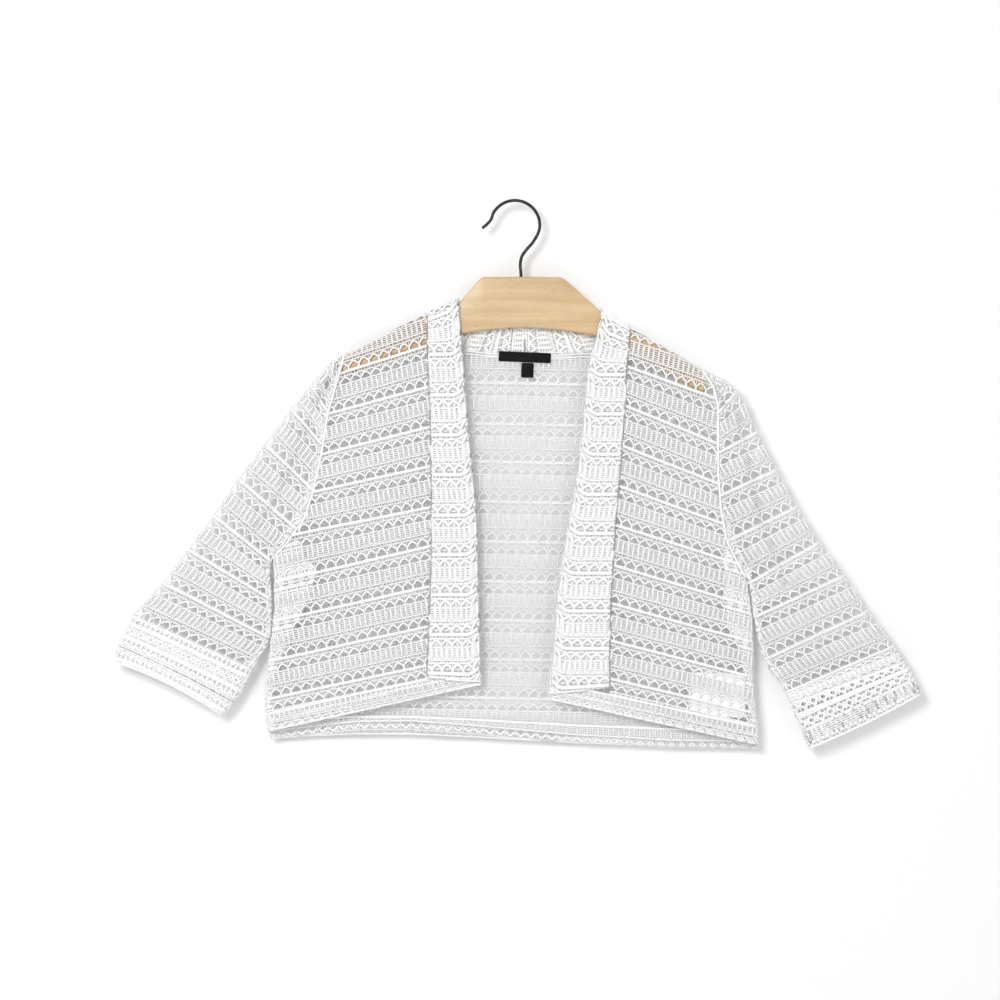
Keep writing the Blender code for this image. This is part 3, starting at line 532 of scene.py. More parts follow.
def shoulder_line(x):
    """Height of the shoulders across, straight between the ends of both."""
    ends = [SHOULDER["left"][1], SHOULDER["left"][0], SHOULDER["right"][0], SHOULDER["right"][1]]
    return np.interp(x, column(ends, 0), column(ends, 1))


def rows_to_flat(across, row, ridges, slope_at, turn_deg, shift):
    """Place on the sheet of a lace place: mm across from a middle, and row number.

    A row is a straight line across. Columns lie square to turn_deg, so the place across
    is where the row's line crosses the column's line.
    """
    count = np.arange(1, len(ridges) + 1)
    level = beyond(count, ridges, row)
    slope = beyond(count, slope_at, row)
    tilt = math.radians(turn_deg)
    x = (across + shift - level * math.sin(tilt)) / (math.cos(tilt) + slope * math.sin(tilt))
    return np.stack([x, level + slope * x], -1)


def beyond(places, values, at):
    """Read a table between its rows, and past its ends at the slope of the end rows."""
    places = np.asarray(places, float)
    values = np.asarray(values, float)
    at = np.asarray(at, float)
    middle = np.interp(at, places, values)
    low = (values[1] - values[0]) / (places[1] - places[0])
    high = (values[-1] - values[-2]) / (places[-1] - places[-2])
    return (middle + np.minimum(at - places[0], 0.0) * low
            + np.maximum(at - places[-1], 0.0) * high)


def trim(flat, gap_of):
    """Cut yarns off at the cloth's edges.

    gap_of gives each point's distance inside the nearest edge, in mm. A length of yarn
    with one end outside is shortened to where that distance falls to nothing.
    """
    gap = gap_of(flat)
    kept = (gap[:, :-1] > 0) | (gap[:, 1:] > 0)
    leaving = (gap[:, :-1] > 0) & (gap[:, 1:] <= 0)
    coming = (gap[:, :-1] <= 0) & (gap[:, 1:] > 0)
    start = flat[:, :-1].copy()
    end = flat[:, 1:].copy()
    share = (gap[:, :-1] / np.where(leaving, gap[:, :-1] - gap[:, 1:], 1.0))[..., None]
    cut = flat.copy()
    cut[:, 1:] = np.where(leaving[..., None], start + (end - start) * share, cut[:, 1:])
    share = (gap[:, 1:] / np.where(coming, gap[:, 1:] - gap[:, :-1], 1.0))[..., None]
    cut[:, :-1] = np.where(coming[..., None], end + (start - end) * share, cut[:, :-1])
    used = kept.any(1)
    return cut[used], kept[used]


def yarn_tubes(line, out, kept, half_width, half_thick, sides):
    """Closed flattened tubes along many yarns at once.

    line holds yarns x points x 3, out the cloth's outward normals there, kept which
    lengths are yarn. A ring's point is the line plus half the width across times the
    cosine plus half the thickness along the normal times the sine.
    """
    yarns, count = line.shape[:2]
    along = np.gradient(line, axis=1) if count > 2 else np.repeat(line[:, 1:] - line[:, :1], 2, 1)
    across = np.cross(along, out)
    across /= np.maximum(np.linalg.norm(across, axis=-1, keepdims=True), 1e-9)
    angle = np.arange(sides) / sides * 2 * np.pi + (np.pi / 2 if sides == 3 else 0.0)
    ring = (line[:, :, None] + across[:, :, None] * (half_width * np.cos(angle))[:, None]
            + out[:, :, None] * (half_thick * np.sin(angle))[:, None])
    step = np.linalg.norm(np.diff(line, axis=1), axis=-1)
    kept = kept & (step > SHORTEST)
    length = np.concatenate([np.zeros((yarns, 1)), np.cumsum(step, 1)], 1)
    number = (np.arange(yarns)[:, None] * count + np.arange(count)) * sides
    yarn, point = np.nonzero(kept)
    a = number[yarn, point]
    b = number[yarn, point + 1]
    j = np.arange(sides)
    k = (j + 1) % sides
    quads = np.stack([a[:, None] + j, b[:, None] + j, b[:, None] + k, a[:, None] + k], -1).reshape(-1, 4)
    here = np.repeat(length[yarn, point][:, None], sides, 1)
    there = np.repeat(length[yarn, point + 1][:, None], sides, 1)
    low = np.broadcast_to(j / sides, here.shape)
    high = low + 1.0 / sides
    uv = np.stack([np.stack([here, low], -1), np.stack([there, low], -1),
                   np.stack([there, high], -1), np.stack([here, high], -1)], -2).reshape(-1, 4, 2)
    before = np.concatenate([np.zeros((yarns, 1), bool), kept[:, :-1]], 1)
    after = np.concatenate([kept[:, 1:], np.zeros((yarns, 1), bool)], 1)
    yarn, point = np.nonzero(kept & ~before)
    first = number[yarn, point][:, None] + j
    yarn, point = np.nonzero(kept & ~after)
    last = number[yarn, point + 1][:, None] + j[::-1]
    caps = np.concatenate([first, last])
    cap_uv = np.zeros((len(caps), sides, 2))
    return ring.reshape(-1, 3), quads, uv, caps, cap_uv


def join_tubes(tubes):
    """One point table and one face table per face size from many sets of tubes."""
    points = []
    faces = {3: [], 4: []}
    uvs = {3: [], 4: []}
    total = 0
    for ring, quads, uv, caps, cap_uv in tubes:
        points.append(ring)
        faces[4].append(quads + total)
        uvs[4].append(uv)
        faces[caps.shape[1]].append(caps + total)
        uvs[caps.shape[1]].append(cap_uv)
        total += len(ring)
    points = np.concatenate(points)
    sizes = [size for size in (3, 4) if faces[size] and sum(len(f) for f in faces[size])]
    faces = [np.concatenate(faces[size]) for size in sizes]
    uv = np.concatenate([np.concatenate(uvs[size]).reshape(-1, 2) for size in sizes])
    used = np.unique(np.concatenate([f.ravel() for f in faces]))
    number = np.zeros(len(points), int)
    number[used] = np.arange(len(used))
    return points[used], [number[f] for f in faces], uv


def normals(place, flat, sign):
    """Outward normals of a cloth: the cross product of its steps across and down."""
    small = 0.25
    by_a = place(flat + [small, 0.0]) - place(flat - [small, 0.0])
    by_b = place(flat + [0.0, small]) - place(flat - [0.0, small])
    normal = sign * np.cross(by_a, by_b)
    return normal / np.maximum(np.linalg.norm(normal, axis=-1, keepdims=True), 1e-9)


def knit(to_flat, place, gap_of, sign, scallops, rows, bulk=1.0, lift=0.0, start=0.0):
    """Lay the chart's yarns over a cloth and give their tubes.

    to_flat turns mm across and row number into a place on the sheet, place turns that
    into a point in space, and gap_of gives the distance inside the cloth's edges.
    scallops and rows are the first and last to lay. bulk thickens the yarn, lift moves
    the layer outwards, and start shifts the chart down by that many mm.
    """
    tubes = []
    scallop = np.arange(scallops[0], scallops[1])
    repeat = np.arange(rows[0], rows[1])

    def lay(across, down, repeat_of, half_width, half_thick, out, sides):
        row = repeat_of + (down + start) / REPEAT
        stray = STRAY_ACROSS * ripple(across * 3.1, row * 140.0, 1.7)
        flat = to_flat(across + stray,
                       row + STRAY_DOWN * ripple(across * 1.3, row * 90.0, 0.4))
        flat, kept = trim(flat, gap_of)
        if not len(flat):
            return
        point = place(flat)
        normal = normals(place, flat, sign)
        tubes.append(yarn_tubes(point + normal * (out + lift), normal, kept,
                                half_width * bulk, half_thick, sides))

    for chart, half_width, half_thick, out, sides in ROW_YARNS:
        share = column(chart, 0)
        down = np.tile(column(chart, 1), len(scallop))
        across = ((scallop[:, None] + share) * SCALLOP).ravel()
        lay(np.broadcast_to(across, (len(repeat), len(across))),
            np.broadcast_to(down, (len(repeat), len(down))),
            repeat[:, None], half_width, half_thick, out, sides)
    for chart, half_width, half_thick, out, sides in COLUMN_YARNS:
        share = column(chart, 0)
        across = ((scallop[:, None] + share) * SCALLOP)[None]
        across = np.broadcast_to(across, (len(repeat), len(scallop), len(share))).reshape(-1, len(share))
        down = np.broadcast_to(column(chart, 1), across.shape)
        lay(across, down, np.repeat(repeat, len(scallop))[:, None], half_width, half_thick, out, sides)
    return tubes


def one_yarn(line, out, half_width, half_thick, sides):
    """One tube along a line in space."""
    kept = np.ones((1, len(line) - 1), bool)
    return yarn_tubes(line[None], out[None], kept, half_width, half_thick, sides)


def edge_yarn(flat, place, sign, half_width, half_thick, lift=0.0, sides=6):
    """One yarn along a line on the sheet, such as a fold edge or a row of stitches.

    Its end caps are fans of three-cornered faces.
    """
    flat = np.asarray(flat, float)
    normal = normals(place, flat, sign)
    ring, quads, uv, caps, _ = one_yarn(place(flat) + normal * lift, normal,
                                        half_width, half_thick, sides)
    fans = np.concatenate([caps[:, [0, k, k + 1]] for k in range(1, sides - 1)])
    return ring, quads, uv, fans, np.zeros((len(fans), 3, 2))


def spaced(points, step):
    """Points every step mm along straight runs through a table of points."""
    points = np.asarray(points, float)
    along = np.concatenate([[0.0], np.cumsum(np.linalg.norm(np.diff(points, axis=0), axis=1))])
    even = np.linspace(0.0, along[-1], max(2, int(round(along[-1] / step)) + 1))
    return np.stack([np.interp(even, along, points[:, i]) for i in range(points.shape[1])], 1)


soft_yarn = new_group("soft_yarn", [
    ("Light", "INPUT", "NodeSocketColor"), ("Groove", "INPUT", "NodeSocketColor"),
    ("Twists per mm", "INPUT", "NodeSocketFloat"),
    ("Colour", "OUTPUT", "NodeSocketColor"), ("Height", "OUTPUT", "NodeSocketFloat"),
])
# The twist and fuzz of soft yarn as a height, and its colour between the light tone and a painted groove
# shade: painted shade in the twist's grooves, and random tone in patches
graph(soft_yarn, {
    "inside": ("NodeGroupInput", {}),
    "outside": ("NodeGroupOutput", {}),
    "lay": ("ShaderNodeUVMap", {"uv_map": "yarn"}),
    "split": ("ShaderNodeSeparateXYZ", {}),
    "times": ("ShaderNodeMath", {"operation": "MULTIPLY"}),
    "plus": ("ShaderNodeMath", {"operation": "ADD"}),
    "full": ("ShaderNodeMath", {"operation": "MULTIPLY", 1: 2 * math.pi}),
    "wave": ("ShaderNodeMath", {"operation": "SINE"}),
    "spread": ("ShaderNodeMapRange", {"From Min": -1.0}),
    "place": ("ShaderNodeTexCoord", {}),
    "fuzz": ("ShaderNodeTexNoise", {"Scale": 2600.0, "Detail": 3.0}),
    "patches": ("ShaderNodeTexNoise", {"Scale": 60.0, "Detail": 2.0}),
    "soft": ("ShaderNodeMath", {"operation": "MULTIPLY", 1: 0.8}),
    "both": ("ShaderNodeMath", {"operation": "ADD"}),
    "tone": ("ShaderNodeMath", {"operation": "MULTIPLY_ADD", 1: 0.6}),
    "mix": ("ShaderNodeMix", {"data_type": "RGBA"}),
}, [
    ("lay", "UV", "split", "Vector"), ("split", "X", "times", 0),
    ("inside", "Twists per mm", "times", 1), ("times", 0, "plus", 0), ("split", "Y", "plus", 1),
    ("plus", 0, "full", 0), ("full", 0, "wave", 0), ("wave", 0, "spread", "Value"),
    ("place", "Object", "fuzz", "Vector"), ("place", "Object", "patches", "Vector"),
    ("fuzz", "Fac", "soft", 0), ("spread", "Result", "both", 0), ("soft", 0, "both", 1),
    ("spread", "Result", "tone", 0), ("patches", "Fac", "tone", 2), ("tone", 0, "mix", "Factor"),
    ("inside", "Groove", "mix", 6), ("inside", "Light", "mix", 7),
    ("mix", 2, "outside", "Colour"), ("both", 0, "outside", "Height"),
])


def yarn_material(name, light, groove_shade, twists, bump_mm, soft_mm):
    """White yarn from the shared group, with its own light tone, painted groove shade, twist, bump and
    glow-through.
    """
    made = new_material(name, Roughness=0.85, Specular_IOR_Level=0.25, Sheen_Weight=0.25,
                        Sheen_Roughness=0.6, Subsurface_Weight=0.8,
                        Subsurface_Radius=(1.0, 1.0, 1.0), Subsurface_Scale=soft_mm * MM)
    graph(made.node_tree, {
        "strand": ("ShaderNodeGroup", {"node_tree": soft_yarn, "Light": (*light, 1.0),
                                       "Groove": (*groove_shade, 1.0), "Twists per mm": twists}),
        "bump": ("ShaderNodeBump", {"Strength": 0.5, "Distance": bump_mm * MM}),
    }, [
        ("strand", "Colour", "shader", "Base Color"), ("strand", "Height", "bump", "Height"),
        ("bump", "Normal", "shader", "Normal"),
    ])
    return made


lace_yarn = yarn_material("white_lace_yarn", (0.94, 0.94, 0.94), (0.865, 0.865, 0.875),
                          0.9, 0.12, 0.3)
# The back's yarn is the same yarn painted a shade greyer: painted shade of the back, seen inside the
# cardigan
back_yarn_painted_shade = yarn_material("lace_yarn_painted_shade", (0.90, 0.90, 0.905), (0.81, 0.81, 0.82),
                          0.9, 0.12, 0.3)


def lace_piece(name, tubes, finish, node):
    """One finished cloth piece from its tubes, riding on the hanger's body."""
    points, faces, uv = join_tubes(tubes)
    made = mesh_object(name, points, faces, finish, uv)
    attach(made, "root")
    if node:
        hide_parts(node)
    return made


def mirrored(flat, level):
    """Places on a sheet mirrored at a level: where a turned-up layer lies."""
    turned = flat.copy()
    turned[..., 1] = 2 * level - flat[..., 1]
    return turned


def sunk(point, by):
    """Points moved in toward the middle of the depth by that many mm, less near a fold."""
    point[..., 1] -= by * np.clip(point[..., 1] / DEPTH, -1.0, 1.0)
    return point


def back_relief(x, z):
    """Shallow waves of the hung back, deepest below its middle."""
    return 0.7 * ripple(x * 1.4, z * 0.25, 0.9) * np.clip((-z - 190.0) / 120.0, 0.0, 1.0)


def back_place(flat):
    """The back's cloth in space."""
    return body_place(flat, 1.0, back_relief)


def back_to_flat(across, row):
    """The back's lace on its sheet."""
    slope = np.full(len(BACK_RIDGES), BACK_SLOPE)
    return rows_to_flat(across, row, np.array(BACK_RIDGES) - BACK_SLOPE * BACK_MIDDLE_X,
                        slope, BACK_TURN_DEG, BACK_SHIFT)


def back_gap(flat):
    """Distance inside the back's sides, shoulders, neckline and lower edge."""
    x = flat[..., 0]
    z = flat[..., 1]
    gaps = []
    for side in SIDES:
        gaps.append(outward(side) * (falling(SIDE_LINE[side], z) - x) + side_fold(side, z) * TURN_EXTRA)
    in_neck = (x > NECKLINE[0][0]) & (x < NECKLINE[-1][0])
    neck = np.interp(x, column(NECKLINE, 0), column(NECKLINE, 1)) - z
    gaps.append(np.where(in_neck, neck, shoulder_line(x) - z + TURN_EXTRA))
    gaps.append(z - back_hem_z(x))
    return np.minimum.reduce(gaps) - EDGE_IN


def back_hem_z(x):
    """Height of the back's lower edge."""
    return np.interp(x, column(BACK_HEM, 0), column(BACK_HEM, 1))


def back_hem_place(flat):
    """The hem's turned-up layer: the back mirrored at its lower edge, just inside it."""
    return sunk(back_place(mirrored(flat, back_hem_z(flat[..., 0]))), HEM_LAYER)


def back_hem_gap(flat):
    """Distance inside the hem's turned-up strip, which runs on below the lower edge."""
    x = flat[..., 0]
    z = flat[..., 1]
    edge = back_hem_z(x)
    gaps = [edge - z, z - edge + HEM_DEPTH]
    for side in SIDES:
        gaps.append(outward(side) * (falling(SIDE_LINE[side], 2 * edge - z) - x) + TURN_EXTRA)
    return np.minimum.reduce(gaps) - EDGE_IN


back_tubes = knit(back_to_flat, back_place, back_gap, -1.0, BACK_SCALLOPS, BODY_REPEATS)
back_tubes += knit(back_to_flat, back_hem_place, back_hem_gap, 1.0, BACK_SCALLOPS, (9, 12),
                   HEM_BULK)
hem_line = [(x, back_hem_z(x) + BACK_HEM_RAISE) for x in BACK_HEM_RUN]
back_tubes.append(edge_yarn(hem_line, back_place, -1.0, *HEM_FOLD))
hem_top = [(x, z + HEM_DEPTH) for x, z in hem_line]
back_tubes.append(edge_yarn(hem_top, back_place, 1.0, *BACK_HEM_STITCHES))
back_lace = lace_piece("back_lace", back_tubes, back_yarn_painted_shade, "back_panel")


# The fronts
# Two pieces of the same lace, sewn to the back along the shoulders and the side seams.
# Their rows slope down to the sides. The hem is turned up and runs on behind the foot of
# the front band.

# Front band, top to bottom: height, where it is sewn to the front, where its fold edge is
BAND_LINES = {
    "left": [(-105.8, -82.6, -52.2), (-113.0, -82.6, -51.4), (-136.8, -82.2, -48.9),
             (-175.8, -80.8, -46.1), (-213.8, -79.3, -43.2), (-250.8, -78.8, -39.5),
             (-289.8, -78.4, -35.6), (-326.8, -78.4, -34.2), (-364.8, -79.4, -33.4),
             (-402.8, -80.8, -32.3), (-439.8, -82.4, -31.3), (-458.0, -82.8, -30.6)],
    "right": [(-119.4, 110.2, 82.6), (-126.6, 110.2, 79.6), (-156.4, 107.3, 70.3),
              (-193.8, 105.4, 67.0), (-231.8, 102.6, 63.2), (-269.8, 99.8, 58.4),
              (-306.8, 96.4, 51.3), (-344.8, 94.0, 44.8), (-380.9, 92.1, 40.4),
              (-416.1, 91.2, 38.0), (-452.2, 91.0, 34.7), (-467.0, 91.0, 33.2)],
}
# Ridges of a front, top to bottom: height at the band, height at the side
FRONT_RIDGES = {
    "left": [(-136.8, -163.4), (-175.8, -201.4), (-213.8, -239.9), (-250.8, -275.5),
             (-289.8, -316.3), (-326.8, -361.0), (-364.8, -398.0), (-402.8, -436.0),
             (-439.8, -472.1)],
    "right": [(-156.4, -187.1), (-193.8, -229.9), (-231.8, -267.9), (-269.8, -305.9),
              (-306.8, -343.5), (-344.8, -383.8), (-380.9, -418.0), (-416.1, -451.2),
              (-452.2, -485.4)],
}
# Lower edge of a front: place across and height at the band and at the side
FRONT_HEM = {"left": [(-82.8, -469.3), (-232.0, -502.0)], "right": [(91.0, -484.5), (231.6, -515.0)]}
FRONT_TURN_DEG = {"left": 8.5, "right": -9.0}
FRONT_SCALLOPS = {"left": (-33, -2), "right": (3, 34)}
FRONT_HEM_STITCHES = (1.25, 0.55, 0.45)
FRONT_HEM_POINTS = 80
FRONT_HEM_RAISE = 0.6
FOOT_Z = -480.0
FOOT_IN = 0.5
TAB_SINK = 2.1
TAB_SINK_REACH = 4.0
# Crease beside each armhole: its top and bottom height, mm inside the seam, width, depth
FRONT_CREASE = {"left": (-152.0, -215.0, 4.5, 3.6, 2.6), "right": (-162.0, -245.0, 6.0, 4.0, 3.2)}


def band_seam_x(side, z):
    """Place across of the seam between a front and its band."""
    return falling([(row[0], row[1]) for row in BAND_LINES[side]], z)


def band_fold_x(side, z):
    """Place across of a band's fold edge."""
    return falling([(row[0], row[2]) for row in BAND_LINES[side]], z)


def front_hem_z(side, x):
    """Height of a front's lower edge, one straight line carried on past both its ends."""
    (x0, z0), (x1, z1) = FRONT_HEM[side]
    return z0 + (z1 - z0) * (x - x0) / (x1 - x0)


def front_cloth(side):
    """The ways a front's lace is laid: on its sheet, in space, and its edges, hem included."""
    sign = outward(side)
    ridges = FRONT_RIDGES[side]
    band_z = column(ridges, 0)
    seam_z = column(ridges, 1)
    band_x = band_seam_x(side, band_z)
    seam_x = falling(SIDE_LINE[side], seam_z)
    slope = (seam_z - band_z) / (seam_x - band_x)
    level = band_z - slope * band_x

    def to_flat(across, row):
        return rows_to_flat(across, row, level, slope, FRONT_TURN_DEG[side], 0.0)

    def relief(x, z):
        depth = 0.9 * ripple(x * 1.5 + 40.0, z * 0.3, 1.9 * sign)
        depth = depth * np.clip((-z - 180.0) / 100.0, 0.0, 1.0)
        (top, bottom, inside, width, dip) = FRONT_CREASE[side]
        reach = np.clip((top - z) / 12.0, 0.0, 1.0) * np.clip((z - bottom) / 30.0, 0.0, 1.0)
        off = sign * (falling(SIDE_LINE[side], z) - x) - inside
        return depth - dip * reach * np.exp(-(off / width) ** 2)

    def place(flat):
        point = body_place(flat, -1.0, relief)
        above_hem = flat[..., 1] - front_hem_z(side, flat[..., 0]) - HEM_DEPTH
        low = np.clip(1.0 - above_hem / 3.0, 0.0, 1.0)
        beyond_seam = sign * (flat[..., 0] - band_seam_x(side, flat[..., 1]))
        point[..., 1] += low * TAB_SINK * np.clip(1.0 - beyond_seam / TAB_SINK_REACH, 0.0, 1.0)
        return point

    def gap(flat, hem=False):
        x = flat[..., 0]
        z = flat[..., 1]
        foot = front_hem_z(side, x)
        level_z = 2 * foot - z if hem else z
        below = foot + HEM_DEPTH - level_z
        seam = sign * (x - band_seam_x(side, level_z))
        fold = sign * (x - band_fold_x(side, level_z))
        gaps = [np.maximum(seam, np.minimum(fold, below)),
                sign * (falling(SIDE_LINE[side], level_z) - x)
                + side_fold(side, level_z) * TURN_EXTRA,
                shoulder_line(x) - level_z + TURN_EXTRA]
        gaps += [foot - z, below] if hem else [z - foot]
        return np.minimum.reduce(gaps) - EDGE_IN

    def hem_place(flat):
        return sunk(place(mirrored(flat, front_hem_z(side, flat[..., 0]))), HEM_LAYER)

    def hem_gap(flat):
        return gap(flat, hem=True)

    return to_flat, place, gap, hem_place, hem_gap


for side_name in SIDES:
    to_flat, place, gap, hem_place, hem_gap = front_cloth(side_name)
    span = FRONT_SCALLOPS[side_name]
    tubes = knit(to_flat, place, gap, 1.0, span, BODY_REPEATS)
    tubes += knit(to_flat, hem_place, hem_gap, -1.0, span, (8, 12), HEM_BULK, 0.0, HEM_SHIFT)
    low_x = band_fold_x(side_name, FOOT_Z) + outward(side_name) * FOOT_IN
    high_x = FRONT_HEM[side_name][1][0]
    foot_x = np.linspace(low_x, high_x, FRONT_HEM_POINTS)
    foot = np.stack([foot_x, front_hem_z(side_name, foot_x) + FRONT_HEM_RAISE], 1)
    tubes.append(edge_yarn(foot, place, 1.0, *HEM_FOLD))
    tubes.append(edge_yarn(foot + [0.0, HEM_DEPTH], place, 1.0, *FRONT_HEM_STITCHES))
    lace_piece("front_" + side_name + "_lace", tubes, lace_yarn,
                                         "front_" + side_name)


# The sleeves
# Short wide tubes of the lace, cut on the fold of their outer edge and closed by a seam
# on the inside. Each hangs flat with soft creases down it.

# Rows of a sleeve, shoulder to cuff: outer fold x, z, then inner end x, z
SLEEVE_ROWS = {
    "left": [(-163.2, -145.4, -162.6, -150.0), (-174.8, -154.4, -169.6, -171.0),
             (-192.8, -174.2, -177.7, -199.5), (-211.4, -196.6, -185.2, -230.8),
             (-236.1, -229.8, -190.9, -273.6), (-261.2, -262.6, -204.2, -310.6),
             (-285.0, -297.7, -230.2, -341.0), (-309.1, -330.0, -230.6, -377.1),
             (-333.2, -361.4, -232.6, -413.2), (-361.3, -392.6, -248.4, -443.6)],
    "right": [(181.2, -159.6, 180.5, -165.5), (211.8, -179.0, 193.3, -200.5),
              (230.8, -218.6, 195.7, -238.0), (249.4, -254.6, 196.6, -278.8),
              (268.8, -289.5, 202.8, -322.1), (289.8, -322.9, 223.0, -362.0),
              (313.5, -354.7, 228.0, -394.2), (336.3, -388.5, 237.5, -434.1),
              (361.0, -421.2, 257.4, -465.5), (370.3, -435.4, 262.2, -475.0)],
}
# Creases: first row, last row, place across (0 inner, 1 outer) at each, width, depth
SLEEVE_CREASES = {
    "left": [(1.0, 6.8, 0.50, 0.44, 3.4, 5.4), (-0.4, 2.6, 0.30, 0.60, 3.0, 5.2),
             (4.2, 8.8, 0.84, 0.74, 5.0, 3.0)],
    "right": [(0.6, 6.2, 0.74, 0.36, 3.4, 5.4), (-0.4, 2.0, 0.20, 0.42, 3.0, 5.0),
              (4.0, 8.8, 0.62, 0.52, 5.0, 3.0)],
}
TUBE_SCALLOPS = (-14, 14)
SLEEVE_REPEATS = (0, 9)
FOLD_SHARE = 0.42
ARMHOLE_CLEAR = 0.3
UNDERARM_CLEAR = 1.0
SLEEVE_TOP_IN = 0.6


def tube_size(ends, down):
    """A flattened tube's ends at a row, its width, its folds' reach, and the cloth between."""
    outer_x, outer_z, inner_x, inner_z, fold = ends(down)
    length = np.hypot(outer_x - inner_x, outer_z - inner_z)
    reach = DEPTH * np.minimum(1.0, FOLD_SHARE * length / DEPTH)
    total = length + reach * (np.pi / 2 - 1) * (1 + fold)
    return outer_x, outer_z, inner_x, inner_z, fold, length, reach, total


def tube_place(ends, flat, creases, rise=None):
    """Place of a point of a flattened tube.

    flat holds the arc run from the outer fold, below nothing on the front layer, and mm
    down. ends gives outer x, z, inner x, z and the inner fold's share there. The
    depth turns to nothing at the outer fold and, by that share, at the inner end. A
    crease takes off depth as a bell curve of the distance from its line.
    """
    run = flat[..., 0]
    down = flat[..., 1]
    outer_x, outer_z, inner_x, inner_z, fold, length, reach, total = tube_size(ends, down)
    run_in = total - np.abs(run)
    seen, share = turn(np.abs(run), reach)
    seen_in, share_in = turn(run_in, reach)
    from_inner = fold * seen_in + (1 - fold) * run_in
    t = np.where(np.abs(run) < total / 2, seen / length, 1.0 - from_inner / length)
    depth = DEPTH * share * (1.0 - fold * (1.0 - share_in))
    front = run < 0
    row = down / REPEAT
    for first, last, start_t, end_t, width, dip in creases:
        window = np.clip(row - first, 0, 1) * np.clip(last - row, 0, 1)
        line = start_t + (end_t - start_t) * (row - first) / (last - first)
        bell = np.exp(-((1.0 - t - line) * length / width) ** 2)
        depth = depth - dip * window * bell * np.where(front, 1.0, 0.5) * share
    x = outer_x + (inner_x - outer_x) * t
    z = outer_z + (inner_z - outer_z) * t
    if rise is not None:
        z = z + rise(down) * 4 * t * (1 - t)
    return np.stack([x, np.where(front, -depth, depth), z], -1)


def tube_inner_gap(ends, flat):
    """Distance of a place on a tube's cloth from the tube's inner end, along the cloth."""
    return tube_size(ends, flat[..., 1])[-1] - np.abs(flat[..., 0])


def tube_gap(ends, flat, top, bottom):
    """Distance inside a tube's inner ends and its top and bottom."""
    down = flat[..., 1]
    return np.minimum.reduce([tube_inner_gap(ends, flat), down - top, bottom - down]) - EDGE_IN


def tube_to_flat(across, row):
    """Lace on a tube's sheet: mm round from the outer fold, mm down from the first row."""
    across, row = np.broadcast_arrays(across, row)
    return np.stack([across, row * REPEAT], -1)


def sleeve_ends(side):
    """Where a sleeve's rows end, read from its table; beside the armhole, just clear of it."""
    table = SLEEVE_ROWS[side]
    index = np.arange(len(table))
    sign = outward(side)

    def ends(down):
        row = np.clip(down / REPEAT, 0.0, len(table) - 1.0)
        inner_z = np.interp(row, index, column(table, 3))
        fold = side_fold(side, inner_z)
        clear = ARMHOLE_CLEAR + UNDERARM_CLEAR * (1.0 - (1.0 - fold) ** 3)
        beside = falling(SIDE_LINE[side], inner_z) + sign * clear
        end_x = smooth(index, column(table, 2), row)
        inner_x = np.where(inner_z > UNDERARM_Z[side], beside,
                           sign * np.maximum(sign * beside, sign * end_x))
        return (smooth(index, column(table, 0), row), smooth(index, column(table, 1), row),
                inner_x, inner_z, fold)

    return ends


def sleeve_cloth(side):
    """A sleeve's cloth in space, its row ends, the distance inside its edges, its length."""
    ends = sleeve_ends(side)
    bottom = (len(SLEEVE_ROWS[side]) - 1) * REPEAT

    def place(flat):
        return tube_place(ends, flat, SLEEVE_CREASES[side])

    def gap(flat):
        return tube_gap(ends, flat, SLEEVE_TOP_IN, bottom)

    return place, ends, gap, bottom


for side_name in SIDES:
    place, _, gap, _ = sleeve_cloth(side_name)
    tubes = knit(tube_to_flat, place, gap, -outward(side_name), TUBE_SCALLOPS, SLEEVE_REPEATS)
    lace_piece("sleeve_" + side_name + "_lace", tubes, lace_yarn,
                                          "sleeve_" + side_name)


# The cuffs
# The lace again, folded to twice its depth and sewn on as a wide band round the end of
# each sleeve, so it is nearly closed.

# Rows of a cuff, top to bottom: outer fold x, z, inner fold x, z, rise of the middle
CUFF_ROWS = {
    "left": [(-361.6, -393.0, -248.6, -444.0, 0.0), (-369.0, -409.0, -257.5, -461.0, 1.0),
             (-376.6, -424.5, -268.0, -478.4, 2.6), (-378.6, -436.6, -277.0, -486.8, 4.4)],
    "right": [(370.6, -435.8, 262.3, -475.5, 0.0), (376.0, -445.6, 270.6, -493.2, 0.0),
              (382.5, -457.0, 276.0, -508.0, -1.2), (386.0, -466.8, 279.8, -518.6, -2.4)],
}
CUFF_LAYER = 0.42
CUFF_TOP_IN = 0.3
CUFF_START = {"left": 7.2, "right": 12.2}
CUFF_INNER_SHIFT = {"left": -6.7, "right": 21.0}
CUFF_BULK = {"left": 1.17, "right": 1.29}

# The folded pieces' yarn is the same yarn painted lighter: painted light that lifts the shade between
# their doubled layers
folded_yarn_painted_light = yarn_material("white_folded_lace_yarn_painted_light", (0.975, 0.975, 0.975),
                            (0.93, 0.93, 0.935), 0.9, 0.1, 0.12)


def cuff_cloth(side):
    """A cuff's cloth in space, its row ends, the distance inside its edges, its depth.

    Its rows are read by mm down its middle.
    """
    table = CUFF_ROWS[side]
    middle_x = (column(table, 0) + column(table, 2)) / 2
    middle_z = (column(table, 1) + column(table, 3)) / 2
    down_at = np.concatenate([[0.0], np.cumsum(np.hypot(np.diff(middle_x), np.diff(middle_z)))])

    def ends(down):
        read = [np.interp(down, down_at, column(table, index)) for index in range(4)]
        return (*read, np.ones_like(np.asarray(down, float)))

    def rise(down):
        return np.interp(down, down_at, column(table, 4))

    def place(flat):
        return tube_place(ends, flat, [], rise)

    def gap(flat):
        return tube_gap(ends, flat, CUFF_TOP_IN, down_at[-1])

    return place, ends, gap, down_at[-1]


